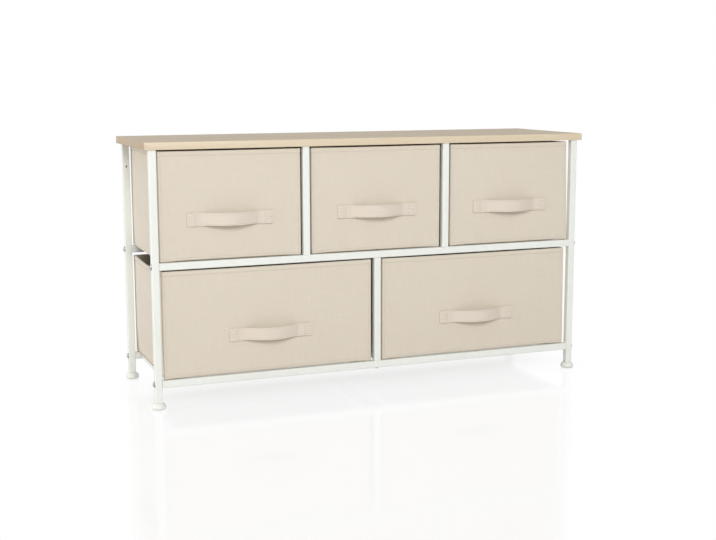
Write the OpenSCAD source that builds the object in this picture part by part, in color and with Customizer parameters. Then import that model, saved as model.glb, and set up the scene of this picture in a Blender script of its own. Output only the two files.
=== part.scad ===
// Fabric drawer dresser: a bolted frame of square steel tube with a wood-effect top board,
// three fabric drawers above two wider ones, and four screw-in feet.
// Millimetres, +Z up, drawers open towards -Y, origin below the middle of the whole dresser.

/* [Top board] */
// Width of the top board
board_w = 1000; // [800:5:1300]
// Depth of the top board
board_d = 300; // [260:5:420]
// Thickness of the top board
board_t = 15; // [12:0.5:25]
// Radius of the board's four upright corners
board_corner_r = 2; // [1.5:0.5:8]
// Thickness of the band glued round the board's edge
edge_band_t = 0.8; // [0.4:0.1:1.2]
// How far the board reaches past the legs at each end
end_overhang = 10; // [0:1:40]
// How far the board reaches past the legs at the front and the back
front_overhang = 3; // [0:1:20]

/* [Frame] */
// Outer side of the square tube
tube_s = 15; // [14:0.5:20]
// Wall of the square tube
tube_wall = 1.2; // [0.8:0.1:1.5]
// Outer corner radius of the square tube
tube_r = 2; // [1.6:0.1:3]
// Height of the lower rails above the floor
rail_ground = 45; // [38:1:100]
// Clear height of the lower opening
lower_open_h = 227.5; // [160:0.5:320]
// Clear height of the upper opening
upper_open_h = 227.5; // [160:0.5:320]
// Gap between the end of a lower bay and the runner tube in it
lower_runner_inset = 14.5; // [6:0.5:40]
// Gap between the end of an upper bay and the runner tube in it
upper_runner_inset = 34.5; // [6:0.5:40]
// Height of the wall anchor holes below the board
anchor_drop = 51; // [30:1:100]
// Radius of the wall anchor holes
anchor_r = 2.2; // [1.6:0.1:3]

/* [Bolts and plugs] */
// Radius of the bolts and studs that hold the frame
bolt_r = 2.95; // [2:0.05:3.4]
// Radial clearance of a bolt in the thread of its plug
thread_gap = 0.05; // [0.02:0.01:0.1]
// Radial clearance of a bolt in the wall of a tube
bolt_hole_gap = 0.35; // [0.1:0.05:0.6]
// Radius of the domed bolt heads
bolt_head_r = 5.6; // [5:0.1:6.5]
// Height of the domed bolt heads
bolt_head_h = 3; // [2:0.1:3.6]
// Radius of the washers under the leg bolts
washer_r = 6.6; // [6.5:0.1:7]
// Thickness of the washers under the leg bolts
washer_t = 0.8; // [0.5:0.1:1.5]
// Length of the threaded plugs in the tube ends
plug_l = 18; // [12:1:30]
// Play between a plug and the inside of its tube
plug_gap = 0.05; // [0.02:0.01:0.15]
// Length of the threaded inserts in the top board
insert_l = 10.5; // [7:0.5:11]
// Outer radius of the threaded inserts in the top board
insert_r = 4.5; // [4:0.1:6]

/* [Feet] */
// Radius of the foot where it stands on the floor
foot_r = 15; // [12:0.5:22]
// Radius of the foot's collar under the leg
foot_collar_r = 9.5; // [7:0.5:11]
// Height of the foot
foot_h = 14; // [11:0.5:25]
// Gap between the foot and the end of the leg
foot_gap = 0.3; // [0.2:0.1:3]
// Radius of the foot's threaded stud
foot_stud_r = 4; // [3:0.5:5]
// Length of the foot's stud above the collar
foot_stud_l = 20; // [14:1:30]
// Radial clearance of the foot's stud in its insert
foot_stud_gap = 0.05; // [0.02:0.01:0.1]

/* [Drawers] */
// How far the drawer fronts stand behind the frame's front
drawer_inset = 5; // [2:0.5:15]
// How far the drawer backs stand inside the frame's back
drawer_back_gap = 2; // [1:0.5:60]
// Gap between a drawer and the tubes at its sides
drawer_side_gap = 5; // [2:0.5:12]
// Gap between a drawer's rim and what is above it
drawer_top_gap = 4.4; // [2:0.1:20]
// Running gap between a drawer and the tubes under it
drawer_seat_gap = 0.3; // [0.2:0.1:1]
// Radius of a drawer's upright corners and bottom edge
drawer_edge_r = 3.5; // [2.5:0.5:6]
// Thickness of the drawer's fabric
fabric_t = 1; // [0.8:0.1:2]
// Thickness of the stiff boards sewn into the drawer's walls
wall_board_t = 2; // [1.5:0.1:4]
// Thickness of the loose board in the drawer's bottom
base_board_t = 3; // [2:0.5:6]
// Play round the loose base board
base_board_gap = 0.5; // [0.5:0.5:4]
// Height of the hem round the drawer's rim
hem_h = 9; // [6:0.5:20]
// How far the hem stands proud of the wall
hem_proud = 0.4; // [0.2:0.1:1]

/* [Strap handles] */
// Length of the strap over both sewn ends
strap_l = 182; // [120:1:240]
// Height of the strap over its arch
strap_h = 26.5; // [18:0.5:40]
// How far the sewn ends reach past the arch's edges above and below
strap_flare = 1; // [0.5:0.25:3]
// Length over which the strap narrows beside each sewn end
strap_neck_l = 15; // [5:1:18]
// Thickness of the strap
strap_t = 2; // [1.5:0.1:3]
// Reach of the strap in front of the drawer
strap_reach = 25; // [18:0.5:35]
// Length of each sewn end
strap_end_l = 28; // [12:0.5:40]
// Height of the strap's middle above the drawer's bottom
strap_z = 85; // [50:1:120]

/* [Hidden] */

$fn = 48;
// A cut runs this far past the face it opens
over = 1;
// The end of a bolt or stud stays this far inside its plug or insert
end_gap = 1;

// Colours
frame_white = [0.93, 0.94, 0.93];
wood_top = [0.76, 0.70, 0.60];
wood_edge = [0.87, 0.80, 0.70];
fabric_beige = [0.87, 0.83, 0.78];
strap_beige = [0.88, 0.84, 0.80];
zinc = [0.72, 0.73, 0.74];
plug_grey = [0.30, 0.30, 0.31];
foot_white = [0.90, 0.89, 0.86];
board_brown = [0.58, 0.46, 0.34];

// Frame sizes
frame_w = board_w - 2 * end_overhang;
frame_d = board_d - 2 * front_overhang;
leg_x = frame_w / 2 - tube_s / 2;
leg_y = frame_d / 2 - tube_s / 2;
rail_l = frame_w - 2 * tube_s;
runner_l = frame_d - 2 * tube_s;
bore_s = tube_s - 2 * tube_wall;

// Levels, from the floor up
lower_rail_z = rail_ground + tube_s / 2;
lower_floor = rail_ground + tube_s;
middle_rail_z = lower_floor + lower_open_h + tube_s / 2;
upper_floor = middle_rail_z + tube_s / 2;
board_z = upper_floor + upper_open_h;
leg_bottom = foot_h + foot_gap;
// Share of the foot's height below its widest line
foot_belly = 0.36;

// Bays across each level, their widths and centres, and the posts between them
lower_bays = 2;
upper_bays = 3;
lower_bay_w = (rail_l - (lower_bays - 1) * tube_s) / lower_bays;
upper_bay_w = (rail_l - (upper_bays - 1) * tube_s) / upper_bays;
lower_bay_x = [for (i = [0:lower_bays - 1]) bay_centre(i, lower_bays, lower_bay_w)];
upper_bay_x = [for (i = [0:upper_bays - 1]) bay_centre(i, upper_bays, upper_bay_w)];
lower_post_x = [for (i = [0:lower_bays - 2]) (lower_bay_x[i] + lower_bay_x[i + 1]) / 2];
upper_post_x = [for (i = [0:upper_bays - 2]) (upper_bay_x[i] + upper_bay_x[i + 1]) / 2];

// Holes
bolt_hole_r = bolt_r + bolt_hole_gap;
thread_r = bolt_r + thread_gap;
access_r = bolt_head_r + bolt_hole_gap;
anchor_z = board_z - anchor_drop;

// Bolts
leg_bolt_l = washer_t + tube_s + plug_l - end_gap;
post_bolt_grip = plug_l - end_gap;
socket_r = bolt_r * 0.75;
socket_depth = bolt_head_h * 0.6;
stud_above = insert_l - end_gap;
stud_below = plug_l - end_gap;

// Drawers
drawer_wall = 2 * fabric_t + wall_board_t;
drawer_inner_r = drawer_edge_r - 1;
drawer_d = frame_d - drawer_inset - drawer_back_gap;
drawer_front_y = -frame_d / 2 + drawer_inset;
drawer_y = drawer_front_y + drawer_d / 2;
lower_drawer_w = lower_bay_w - 2 * drawer_side_gap;
upper_drawer_w = upper_bay_w - 2 * drawer_side_gap;
lower_drawer_h = lower_open_h - drawer_seat_gap - drawer_top_gap;
upper_drawer_h = upper_open_h - drawer_seat_gap - drawer_top_gap;
lower_drawer_z = lower_floor + drawer_seat_gap;
upper_drawer_z = upper_floor + drawer_seat_gap;
board_margin = drawer_edge_r + fabric_t;

// The straps reach past the board in front and the feet behind it, so the frame's middle
// stands this far behind the origin
front_reach = max(board_d / 2, leg_y + foot_r, strap_reach - drawer_front_y);
back_reach = max(board_d / 2, leg_y + foot_r);
frame_y = (front_reach - back_reach) / 2;

// Strap arch: the strap leaves its sewn ends flat and is fullest in the middle
arch_steps = 28;
arch_power = 1.1;
arch_probe = 0.001;
arch_l = strap_l - 2 * strap_end_l;
arch_rise = strap_reach - strap_t;

// Centre of bay i of n bays of width w with a post between each two
function bay_centre(i, n, w) = (i - (n - 1) / 2) * (w + tube_s);

// Middle line of the strap at position u from 0 to 1 over its arch
function arch_point(u) =
    [(u - 0.5) * arch_l, strap_t / 2 + arch_rise * pow(sin(180 * u), arch_power)];

// Unit vector across the strap at position u, inside the arch
function arch_across(u) =
    let (step = arch_point(u + arch_probe) - arch_point(u - arch_probe))
    [-step[1], step[0]] / norm(step);

// One side of the strap, half its thickness off the middle line to side s
function strap_side(s) =
    let (end_y = (1 + s) * strap_t / 2)
    concat(
        [[-strap_l / 2, end_y], [-arch_l / 2, end_y]],
        [for (i = [1:arch_steps - 1])
            let (u = i / arch_steps)
            arch_point(u) + s * strap_t / 2 * arch_across(u)],
        [[arch_l / 2, end_y], [strap_l / 2, end_y]]
    );

// List v from its last entry to its first
function reverse(v) = [for (i = [len(v) - 1:-1:0]) v[i]];

// Rounded rectangle made of two bars and four discs
module rounded_rect(w, d, r) {
    square([w - 2 * r, d], center = true);
    square([w, d - 2 * r], center = true);
    for (x = [-1, 1], y = [-1, 1])
        translate([x * (w / 2 - r), y * (d / 2 - r)]) circle(r);
}

// Square tube of length l along Z, from z = 0
module tube(l) {
    linear_extrude(l) difference() {
        rounded_rect(tube_s, tube_s, tube_r);
        rounded_rect(bore_s, bore_s, tube_r - tube_wall);
    }
}

// Places for what stands at the four legs
module at_legs() {
    for (x = [-1, 1], y = [-1, 1])
        translate([x * leg_x, y * leg_y, 0]) children();
}

// Moves the frame's middle to its place behind the origin
module placed() {
    translate([0, frame_y, 0]) children();
}

// Turns what points along Z to point along +X for side 1, -X for side -1
module along_x(side) {
    rotate([0, side * 90, 0]) children();
}

// Tube along X, centred on x = 0
module rail_tube(l) {
    translate([-l / 2, 0, 0]) along_x(1) tube(l);
}

// Tube along Y, centred on y = 0
module runner_tube(l) {
    translate([0, l / 2, 0]) rotate([90, 0, 0]) tube(l);
}

// Plug for a tube end, from z = 0 down, with its thread through it
module tube_plug() {
    plug_s = bore_s - 2 * plug_gap;
    translate([0, 0, -plug_l]) linear_extrude(plug_l) difference() {
        rounded_rect(plug_s, plug_s, tube_r - tube_wall);
        circle(thread_r);
    }
}

// Bolt with a domed head and a hexagon socket; its head sits on z = 0 and its shank goes up
module dome_bolt(l) {
    cylinder(r = bolt_r, h = l);
    difference() {
        rotate_extrude() dome_profile();
        translate([0, 0, -bolt_head_h - over])
            cylinder(r = socket_r, h = socket_depth + over, $fn = 6);
    }
}

// Half section of the domed head, flat against z = 0
module dome_profile() {
    dome_r = (bolt_head_r * bolt_head_r + bolt_head_h * bolt_head_h) / (2 * bolt_head_h);
    intersection() {
        translate([0, dome_r - bolt_head_h]) circle(dome_r);
        translate([0, -bolt_head_h]) square([bolt_head_r, bolt_head_h]);
    }
}

// Board core
module top_board() {
    core_w = board_w - 2 * edge_band_t;
    core_d = board_d - 2 * edge_band_t;
    color(wood_top) placed() difference() {
        translate([0, 0, board_z]) linear_extrude(board_t)
            rounded_rect(core_w, core_d, board_corner_r - edge_band_t);
        at_board_fixings() translate([0, 0, -over])
            cylinder(r = insert_r, h = insert_l + over);
    }
}

// Band round the board's edge
module board_edge_band() {
    core_w = board_w - 2 * edge_band_t;
    core_d = board_d - 2 * edge_band_t;
    color(wood_edge) placed() translate([0, 0, board_z]) linear_extrude(board_t)
        difference() {
            rounded_rect(board_w, board_d, board_corner_r);
            rounded_rect(core_w, core_d, board_corner_r - edge_band_t);
        }
}

// Places on the board's underside above each leg and upper post
module at_board_fixings() {
    for (x = concat([-leg_x, leg_x], upper_post_x), y = [-1, 1])
        translate([x, y * leg_y, board_z]) children();
}

// Threaded inserts in the board's underside
module board_inserts() {
    color(zinc) placed() at_board_fixings() linear_extrude(insert_l) difference() {
        circle(insert_r);
        circle(thread_r);
    }
}

// Studs from the inserts down into the plugs of the legs and upper posts
module board_studs() {
    color(zinc) placed() at_board_fixings() translate([0, 0, -stud_below])
        cylinder(r = bolt_r, h = stud_below + stud_above);
}

// Leg at side x and row y, with holes for its rail bolts and, at the rear, the wall anchor
module leg(x, y) {
    color(frame_white) placed() translate([x * leg_x, y * leg_y, 0]) difference() {
        translate([0, 0, leg_bottom]) tube(board_z - leg_bottom);
        for (z = [lower_rail_z, middle_rail_z])
            translate([-tube_s, 0, z]) along_x(1) cylinder(r = bolt_hole_r, h = 2 * tube_s);
        if (y > 0)
            translate([0, tube_s, anchor_z]) rotate([90, 0, 0])
                cylinder(r = anchor_r, h = 2 * tube_s);
    }
}

// Plugs in the tops of the legs
module leg_top_plugs() {
    color(plug_grey) placed() at_legs() translate([0, 0, board_z]) tube_plug();
}

// Inserts in the bottoms of the legs, for the studs of the feet
module leg_foot_inserts() {
    insert_s = bore_s - 2 * plug_gap;
    color(plug_grey) placed() at_legs() translate([0, 0, leg_bottom])
        linear_extrude(foot_stud_l) difference() {
            rounded_rect(insert_s, insert_s, tube_r - tube_wall);
            circle(foot_stud_r + foot_stud_gap);
        }
}

// Places on the outer side faces of the legs, at the level of each rail, facing inwards
module at_leg_bolts() {
    for (x = [-1, 1], y = [-1, 1], z = [lower_rail_z, middle_rail_z])
        translate([x * frame_w / 2, y * leg_y, z]) along_x(-x) children();
}

// Bolts through the legs into the ends of the rails
module leg_bolts() {
    color(zinc) placed() at_leg_bolts() translate([0, 0, -washer_t]) dome_bolt(leg_bolt_l);
}

// Washers under the leg bolts
module leg_washers() {
    color(zinc) placed() at_leg_bolts() translate([0, 0, -washer_t])
        linear_extrude(washer_t) difference() {
            circle(washer_r);
            circle(bolt_hole_r);
        }
}

// Lower rail at row y, drilled through for the lower posts' bolts
module rail_lower(y) {
    color(frame_white) placed() translate([0, y * leg_y, lower_rail_z]) difference() {
        rail_tube(rail_l);
        for (x = lower_post_x)
            translate([x, 0, -tube_s]) cylinder(r = bolt_hole_r, h = 2 * tube_s);
    }
}

// Middle rail at row y; each bolt has its hole in one wall and a wider one opposite
module rail_middle(y) {
    color(frame_white) placed() translate([0, y * leg_y, middle_rail_z]) difference() {
        rail_tube(rail_l);
        for (x = upper_post_x) translate([x, 0, 0]) {
            cylinder(r = bolt_hole_r, h = tube_s);
            mirror([0, 0, 1]) cylinder(r = access_r, h = tube_s);
        }
        for (x = lower_post_x) translate([x, 0, 0]) {
            cylinder(r = access_r, h = tube_s);
            mirror([0, 0, 1]) cylinder(r = bolt_hole_r, h = tube_s);
        }
    }
}

// Plugs in the ends of the rails
module rail_end_plugs() {
    color(plug_grey) placed()
        for (x = [-1, 1], y = [-1, 1], z = [lower_rail_z, middle_rail_z])
            translate([x * rail_l / 2, y * leg_y, z]) along_x(x) tube_plug();
}

// Runner tubes of one level, two under each drawer, between the front and rear rails
module runners(bay_x, bay_w, z, inset) {
    runner_off = bay_w / 2 - inset - tube_s / 2;
    color(frame_white) placed() for (x = bay_x, side = [-1, 1])
        translate([x + side * runner_off, 0, z]) runner_tube(runner_l);
}

// Upright post between two drawers
module post(x, y, z, l) {
    color(frame_white) placed() translate([x, y * leg_y, z]) tube(l);
}

// Places at the posts' ends, each with its mouth at z = 0 and the tube below it
module at_post_ends() {
    for (y = [-1, 1]) {
        for (x = lower_post_x) {
            translate([x, y * leg_y, lower_floor]) mirror([0, 0, 1]) children();
            translate([x, y * leg_y, middle_rail_z - tube_s / 2]) children();
        }
        for (x = upper_post_x) {
            translate([x, y * leg_y, upper_floor]) mirror([0, 0, 1]) children();
            translate([x, y * leg_y, board_z]) children();
        }
    }
}

// Plugs in both ends of the posts
module post_plugs() {
    color(plug_grey) placed() at_post_ends() tube_plug();
}

// Bolts that hold the posts to the rails
module post_bolts() {
    lower_grip = tube_s + post_bolt_grip;
    inner_grip = tube_wall + post_bolt_grip;
    color(zinc) placed() for (y = [-1, 1]) {
        for (x = lower_post_x) {
            translate([x, y * leg_y, rail_ground]) dome_bolt(lower_grip);
            translate([x, y * leg_y, middle_rail_z - bore_s / 2])
                mirror([0, 0, 1]) dome_bolt(inner_grip);
        }
        for (x = upper_post_x)
            translate([x, y * leg_y, middle_rail_z + bore_s / 2]) dome_bolt(inner_grip);
    }
}

// Half section of a foot: flat sole, full belly, domed shoulder up to the collar
module foot_profile() {
    belly_h = foot_h * foot_belly;
    dome_r = foot_h - belly_h;
    square([foot_r - belly_h, belly_h + over]);
    square([foot_collar_r, foot_h]);
    intersection() {
        translate([foot_r - belly_h, belly_h]) circle(belly_h);
        square([foot_r + over, belly_h]);
    }
    intersection() {
        translate([foot_r - dome_r, belly_h]) circle(dome_r);
        translate([0, belly_h]) square([foot_r + over, dome_r]);
    }
}

// Foot at side x and row y
module foot(x, y) {
    color(foot_white) placed() translate([x * leg_x, y * leg_y, 0]) difference() {
        rotate_extrude() foot_profile();
        translate([0, 0, foot_h / 2]) cylinder(r = foot_stud_r, h = foot_h);
    }
}

// Threaded stud moulded into the foot at side x and row y
module foot_stud(x, y) {
    color(zinc) placed() translate([x * leg_x, y * leg_y, foot_h / 2])
        cylinder(r = foot_stud_r, h = foot_h / 2 + foot_gap + foot_stud_l - end_gap);
}

// Upright corner of a drawer with a rounded foot
module drawer_corner(r, h) {
    rotate_extrude($fn = 24) {
        intersection() {
            translate([0, r]) circle(r, $fn = 24);
            square(r);
        }
        translate([0, r]) square([r, h - r]);
    }
}

// Box with rounded upright corners and bottom edge, standing on z = 0
module soft_box(w, d, h, r) {
    hull() for (x = [-1, 1], y = [-1, 1])
        translate([x * (w / 2 - r), y * (d / 2 - r), 0]) drawer_corner(r, h);
}

// The four wall boards of a drawer of width w and height h
module wall_board_slabs(w, h) {
    z_low = board_margin;
    board_h = h - z_low - fabric_t;
    for (y = [-1, 1])
        translate([0, y * (drawer_d / 2 - drawer_wall / 2), z_low + board_h / 2])
            cube([w - 2 * board_margin, wall_board_t, board_h], center = true);
    for (x = [-1, 1])
        translate([x * (w / 2 - drawer_wall / 2), 0, z_low + board_h / 2])
            cube([wall_board_t, drawer_d - 2 * board_margin - 2 * drawer_wall, board_h],
                center = true);
}

// Fabric box of a drawer, with pockets for its wall boards and a hem round its rim
module cover(x, z, w, h) {
    color(fabric_beige) placed() translate([x, drawer_y, z]) difference() {
        union() {
            soft_box(w, drawer_d, h, drawer_edge_r);
            translate([0, 0, h - hem_h]) linear_extrude(hem_h)
                rounded_rect(w + 2 * hem_proud, drawer_d + 2 * hem_proud, drawer_edge_r);
        }
        translate([0, 0, fabric_t])
            soft_box(w - 2 * drawer_wall, drawer_d - 2 * drawer_wall, h, drawer_inner_r);
        wall_board_slabs(w, h);
    }
}

// Stiff boards in the walls of a drawer
module wall_boards(x, z, w, h) {
    color(board_brown) placed() translate([x, drawer_y, z]) wall_board_slabs(w, h);
}

// Loose board on the bottom of a drawer
module base_board(x, z, w) {
    inset = drawer_wall + drawer_inner_r + base_board_gap;
    color(board_brown) placed() translate([x, drawer_y, z + fabric_t])
        linear_extrude(base_board_t)
            rounded_rect(w - 2 * inset, drawer_d - 2 * inset, drawer_edge_r);
}

// Outline of the strap from the front: its sewn ends are higher than its arch
module strap_front() {
    end_h = strap_h / 2 + strap_flare;
    neck_x = arch_l / 2 - strap_neck_l;
    top = [
        [-strap_l / 2, end_h], [-arch_l / 2, end_h], [-neck_x, strap_h / 2],
        [neck_x, strap_h / 2], [arch_l / 2, end_h], [strap_l / 2, end_h]
    ];
    polygon(concat(top, [for (p = reverse(top)) [p[0], -p[1]]]));
}

// Strap handle, sewn to the drawer's front at both ends
module strap(x, z) {
    color(strap_beige) placed() translate([x, drawer_front_y, z + strap_z]) intersection() {
        mirror([0, 1, 0]) linear_extrude(2 * strap_h, center = true)
            polygon(concat(strap_side(1), reverse(strap_side(-1))));
        translate([0, over, 0]) rotate([90, 0, 0]) linear_extrude(strap_reach + 2 * over)
            strap_front();
    }
}

top_board();
board_edge_band();
board_inserts();
board_studs();
leg(-1, -1);  // leg_front_left
leg(1, -1);  // leg_front_right
leg(-1, 1);  // leg_rear_left
leg(1, 1);  // leg_rear_right
leg_top_plugs();
leg_foot_inserts();
leg_bolts();
leg_washers();
rail_lower(-1);  // rail_lower_front
rail_lower(1);  // rail_lower_rear
rail_middle(-1);  // rail_middle_front
rail_middle(1);  // rail_middle_rear
rail_end_plugs();
runners(lower_bay_x, lower_bay_w, lower_rail_z, lower_runner_inset);  // runners_lower
runners(upper_bay_x, upper_bay_w, middle_rail_z, upper_runner_inset);  // runners_middle
post(lower_post_x[0], -1, lower_floor, lower_open_h);  // post_lower_front
post(lower_post_x[0], 1, lower_floor, lower_open_h);  // post_lower_rear
post(upper_post_x[0], -1, upper_floor, upper_open_h);  // post_upper_front_left
post(upper_post_x[1], -1, upper_floor, upper_open_h);  // post_upper_front_right
post(upper_post_x[0], 1, upper_floor, upper_open_h);  // post_upper_rear_left
post(upper_post_x[1], 1, upper_floor, upper_open_h);  // post_upper_rear_right
post_plugs();
post_bolts();
foot(-1, -1);  // foot_front_left
foot(1, -1);  // foot_front_right
foot(-1, 1);  // foot_rear_left
foot(1, 1);  // foot_rear_right
foot_stud(-1, -1);  // stud_front_left
foot_stud(1, -1);  // stud_front_right
foot_stud(-1, 1);  // stud_rear_left
foot_stud(1, 1);  // stud_rear_right
cover(lower_bay_x[0], lower_drawer_z, lower_drawer_w, lower_drawer_h);  // cover_lower_left
cover(lower_bay_x[1], lower_drawer_z, lower_drawer_w, lower_drawer_h);  // cover_lower_right
cover(upper_bay_x[0], upper_drawer_z, upper_drawer_w, upper_drawer_h);  // cover_upper_left
cover(upper_bay_x[1], upper_drawer_z, upper_drawer_w, upper_drawer_h);  // cover_upper_middle
cover(upper_bay_x[2], upper_drawer_z, upper_drawer_w, upper_drawer_h);  // cover_upper_right
wall_boards(lower_bay_x[0], lower_drawer_z, lower_drawer_w, lower_drawer_h);  // wall_boards_lower_left
wall_boards(lower_bay_x[1], lower_drawer_z, lower_drawer_w, lower_drawer_h);  // wall_boards_lower_right
wall_boards(upper_bay_x[0], upper_drawer_z, upper_drawer_w, upper_drawer_h);  // wall_boards_upper_left
wall_boards(upper_bay_x[1], upper_drawer_z, upper_drawer_w, upper_drawer_h);  // wall_boards_upper_middle
wall_boards(upper_bay_x[2], upper_drawer_z, upper_drawer_w, upper_drawer_h);  // wall_boards_upper_right
base_board(lower_bay_x[0], lower_drawer_z, lower_drawer_w);  // base_board_lower_left
base_board(lower_bay_x[1], lower_drawer_z, lower_drawer_w);  // base_board_lower_right
base_board(upper_bay_x[0], upper_drawer_z, upper_drawer_w);  // base_board_upper_left
base_board(upper_bay_x[1], upper_drawer_z, upper_drawer_w);  // base_board_upper_middle
base_board(upper_bay_x[2], upper_drawer_z, upper_drawer_w);  // base_board_upper_right
strap(lower_bay_x[0], lower_drawer_z);  // strap_lower_left
strap(lower_bay_x[1], lower_drawer_z);  // strap_lower_right
strap(upper_bay_x[0], upper_drawer_z);  // strap_upper_left
strap(upper_bay_x[1], upper_drawer_z);  // strap_upper_middle
strap(upper_bay_x[2], upper_drawer_z);  // strap_upper_right
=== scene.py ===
"""Looks of a fabric drawer dresser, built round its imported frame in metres.

The steel tubes, bolts, plugs and feet are the frame's own nodes in new finishes. The sewn drawers,
their strap handles, the stitching, the board's edge band and the weld beads are modelled here.
"""

import logging
import math
from collections.abc import Callable, Iterable, Sequence
from dataclasses import dataclass, field
from enum import Enum, IntEnum
from typing import ClassVar

import bmesh
import bpy
import numpy as np
from mathutils import Color, Matrix, Vector


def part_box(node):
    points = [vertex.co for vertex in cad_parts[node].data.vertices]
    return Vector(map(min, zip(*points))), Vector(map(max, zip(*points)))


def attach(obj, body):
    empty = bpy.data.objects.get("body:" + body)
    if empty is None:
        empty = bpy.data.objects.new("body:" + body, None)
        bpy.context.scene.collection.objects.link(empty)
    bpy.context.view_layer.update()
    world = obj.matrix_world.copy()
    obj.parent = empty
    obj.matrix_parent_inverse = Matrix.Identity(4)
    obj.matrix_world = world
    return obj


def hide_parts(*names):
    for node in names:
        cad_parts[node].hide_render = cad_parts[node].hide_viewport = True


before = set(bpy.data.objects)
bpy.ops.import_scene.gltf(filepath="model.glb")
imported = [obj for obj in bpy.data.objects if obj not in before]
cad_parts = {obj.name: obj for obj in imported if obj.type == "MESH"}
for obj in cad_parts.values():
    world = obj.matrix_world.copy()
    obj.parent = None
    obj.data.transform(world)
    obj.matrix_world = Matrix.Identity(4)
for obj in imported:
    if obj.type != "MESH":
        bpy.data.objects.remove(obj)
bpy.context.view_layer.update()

LOG = logging.getLogger("fabric_drawer_dresser")
MM = 0.001
# Lengths in metres below this count as nothing
NOTHING = 1e-9
# Cosine above which a direction counts as running along an axis
ALONG = 0.9
# The same for the edges of a straight side, which the first edge of a round corner nearly follows
STRAIGHT = 0.999
# Angles between faces, in degrees, above which the edge between them stays sharp
SHARP_BAND = 40
SHARP_CLOTH = 50
SHARP_SMALL = 60
# Share of a stitch's pitch to the point that its direction is taken from
STITCH_AHEAD = 0.2

Colour = tuple[float, float, float, float]
Node = bpy.types.Node
Socket = bpy.types.NodeSocket
Piece = bpy.types.Object
Mesh = bpy.types.Mesh
Material = bpy.types.Material
Surface = tuple[Socket, Socket, Socket]
Test = Callable[[Vector, Vector], bool]

WHITE: Colour = (1.0, 1.0, 1.0, 1.0)
# A channel of a colour at its brightest, as a screen counts
CHANNEL_TOP = 255


def paint(*channels: int) -> Colour:
    """Turn a colour as a screen shows it into the linear colour that a shader takes."""
    seen = Color([channel / CHANNEL_TOP for channel in channels])
    return (*seen.from_srgb_to_scene_linear(), 1.0)


class NodeBench:
    """Places and wires the nodes of one tree."""

    def __init__(self, tree: bpy.types.NodeTree) -> None:
        """Take the tree to work on."""
        self.tree = tree

    def add(self, kind: str, **settings: object) -> Node:
        """Place a node.

        Args:
            kind: The node's type, without the leading "ShaderNode".
            settings: Properties of the node to set.

        Returns:
            The new node.
        """
        node = self.tree.nodes.new(f"ShaderNode{kind}")
        for name, value in settings.items():
            setattr(node, name, value)
        return node

    def join(self, value: object, socket: Socket) -> None:
        """Wire a socket into an input, or set the input to a plain value.

        Args:
            value: The socket or the value.
            socket: The input.
        """
        if isinstance(value, bpy.types.NodeSocket):
            self.tree.links.new(value, socket)
        else:
            socket.default_value = value

    def feed(self, node: Node, *terms: object, **named: object) -> Node:
        """Feed a node's inputs with sockets or plain values.

        Args:
            node: The node to feed.
            terms: What goes into its first inputs, in order.
            named: What goes into inputs by name, with spaces written as underscores.

        Returns:
            The same node.
        """
        for socket, term in zip(node.inputs, terms):
            self.join(term, socket)
        for name, term in named.items():
            self.join(term, node.inputs[name.replace("_", " ")])
        return node

    def math(self, operation: str, *terms: object) -> Socket:
        """Place a Math node, such as MULTIPLY, with its terms in order."""
        return self.feed(self.add("Math", operation=operation), *terms).outputs[0]

    def spread(
        self, value: Socket, start: float, end: float, low: float = 0.0, high: float = 1.0
    ) -> Socket:
        """Map a value from low..high to start..end, held at the ends."""
        node = self.add("MapRange", clamp=True)
        return self.feed(node, value, low, high, start, end).outputs[0]

    def blend(self, share: object, first: object, second: object) -> Socket:
        """Mix two colours.

        Args:
            share: Share of the second colour, a socket or a number.
            first: First colour.
            second: Second colour.

        Returns:
            The mixed colour.
        """
        node = self.feed(self.add("Mix", data_type="RGBA", blend_type="MIX"), Factor=share)
        colours = [s for s in node.inputs if s.type == "RGBA"]
        for socket, term in zip(colours, (first, second)):
            self.join(term, socket)
        return next(s for s in node.outputs if s.type == "RGBA")

    def noise(self, vector: Socket, scale: object, detail: float, rough: float = 0.55) -> Socket:
        """Place a Noise Texture with so many features a metre and so many finer layers."""
        node = self.feed(self.add("TexNoise"), Vector=vector, Scale=scale, Detail=detail)
        return self.feed(node, Roughness=rough).outputs["Fac"]

    def streaks(
        self, vector: Socket, scales: Sequence[float], detail: float, rough: float = 0.55
    ) -> Socket:
        """Place a noise that has its own number of features a metre along each axis."""
        stretched = self.feed(self.add("Mapping"), Vector=vector, Scale=tuple(scales))
        return self.noise(stretched.outputs["Vector"], 1.0, detail, rough)

    def axes(self, vector: Socket) -> Iterable[Socket]:
        """Split a vector into X, Y and Z."""
        return self.feed(self.add("SeparateXYZ"), vector).outputs

    def object_place(self) -> Socket:
        """Give the object coordinates, which are the dresser's own in metres."""
        return self.add("TexCoord").outputs["Object"]

    def mix_shaders(self, share: object, first: Node, second: Node) -> Node:
        """Mix two shaders by the share of the second."""
        return self.feed(self.add("MixShader"), share, first.outputs[0], second.outputs[0])


def empty_bench(owner: Material | bpy.types.World) -> NodeBench:
    """Empty a material's or world's tree, and give its bench.

    Args:
        owner: The material or world.

    Returns:
        The bench.
    """
    owner.use_nodes = True
    owner.node_tree.nodes.clear()
    return NodeBench(owner.node_tree)


class Effect(Enum):
    """The shader effects that more than one finish uses."""

    WEAVE = "plain_weave"
    GRAIN = "long_grain"
    MOTTLE = "uneven_tone"
    SETTLED = "settled_dust"


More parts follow.
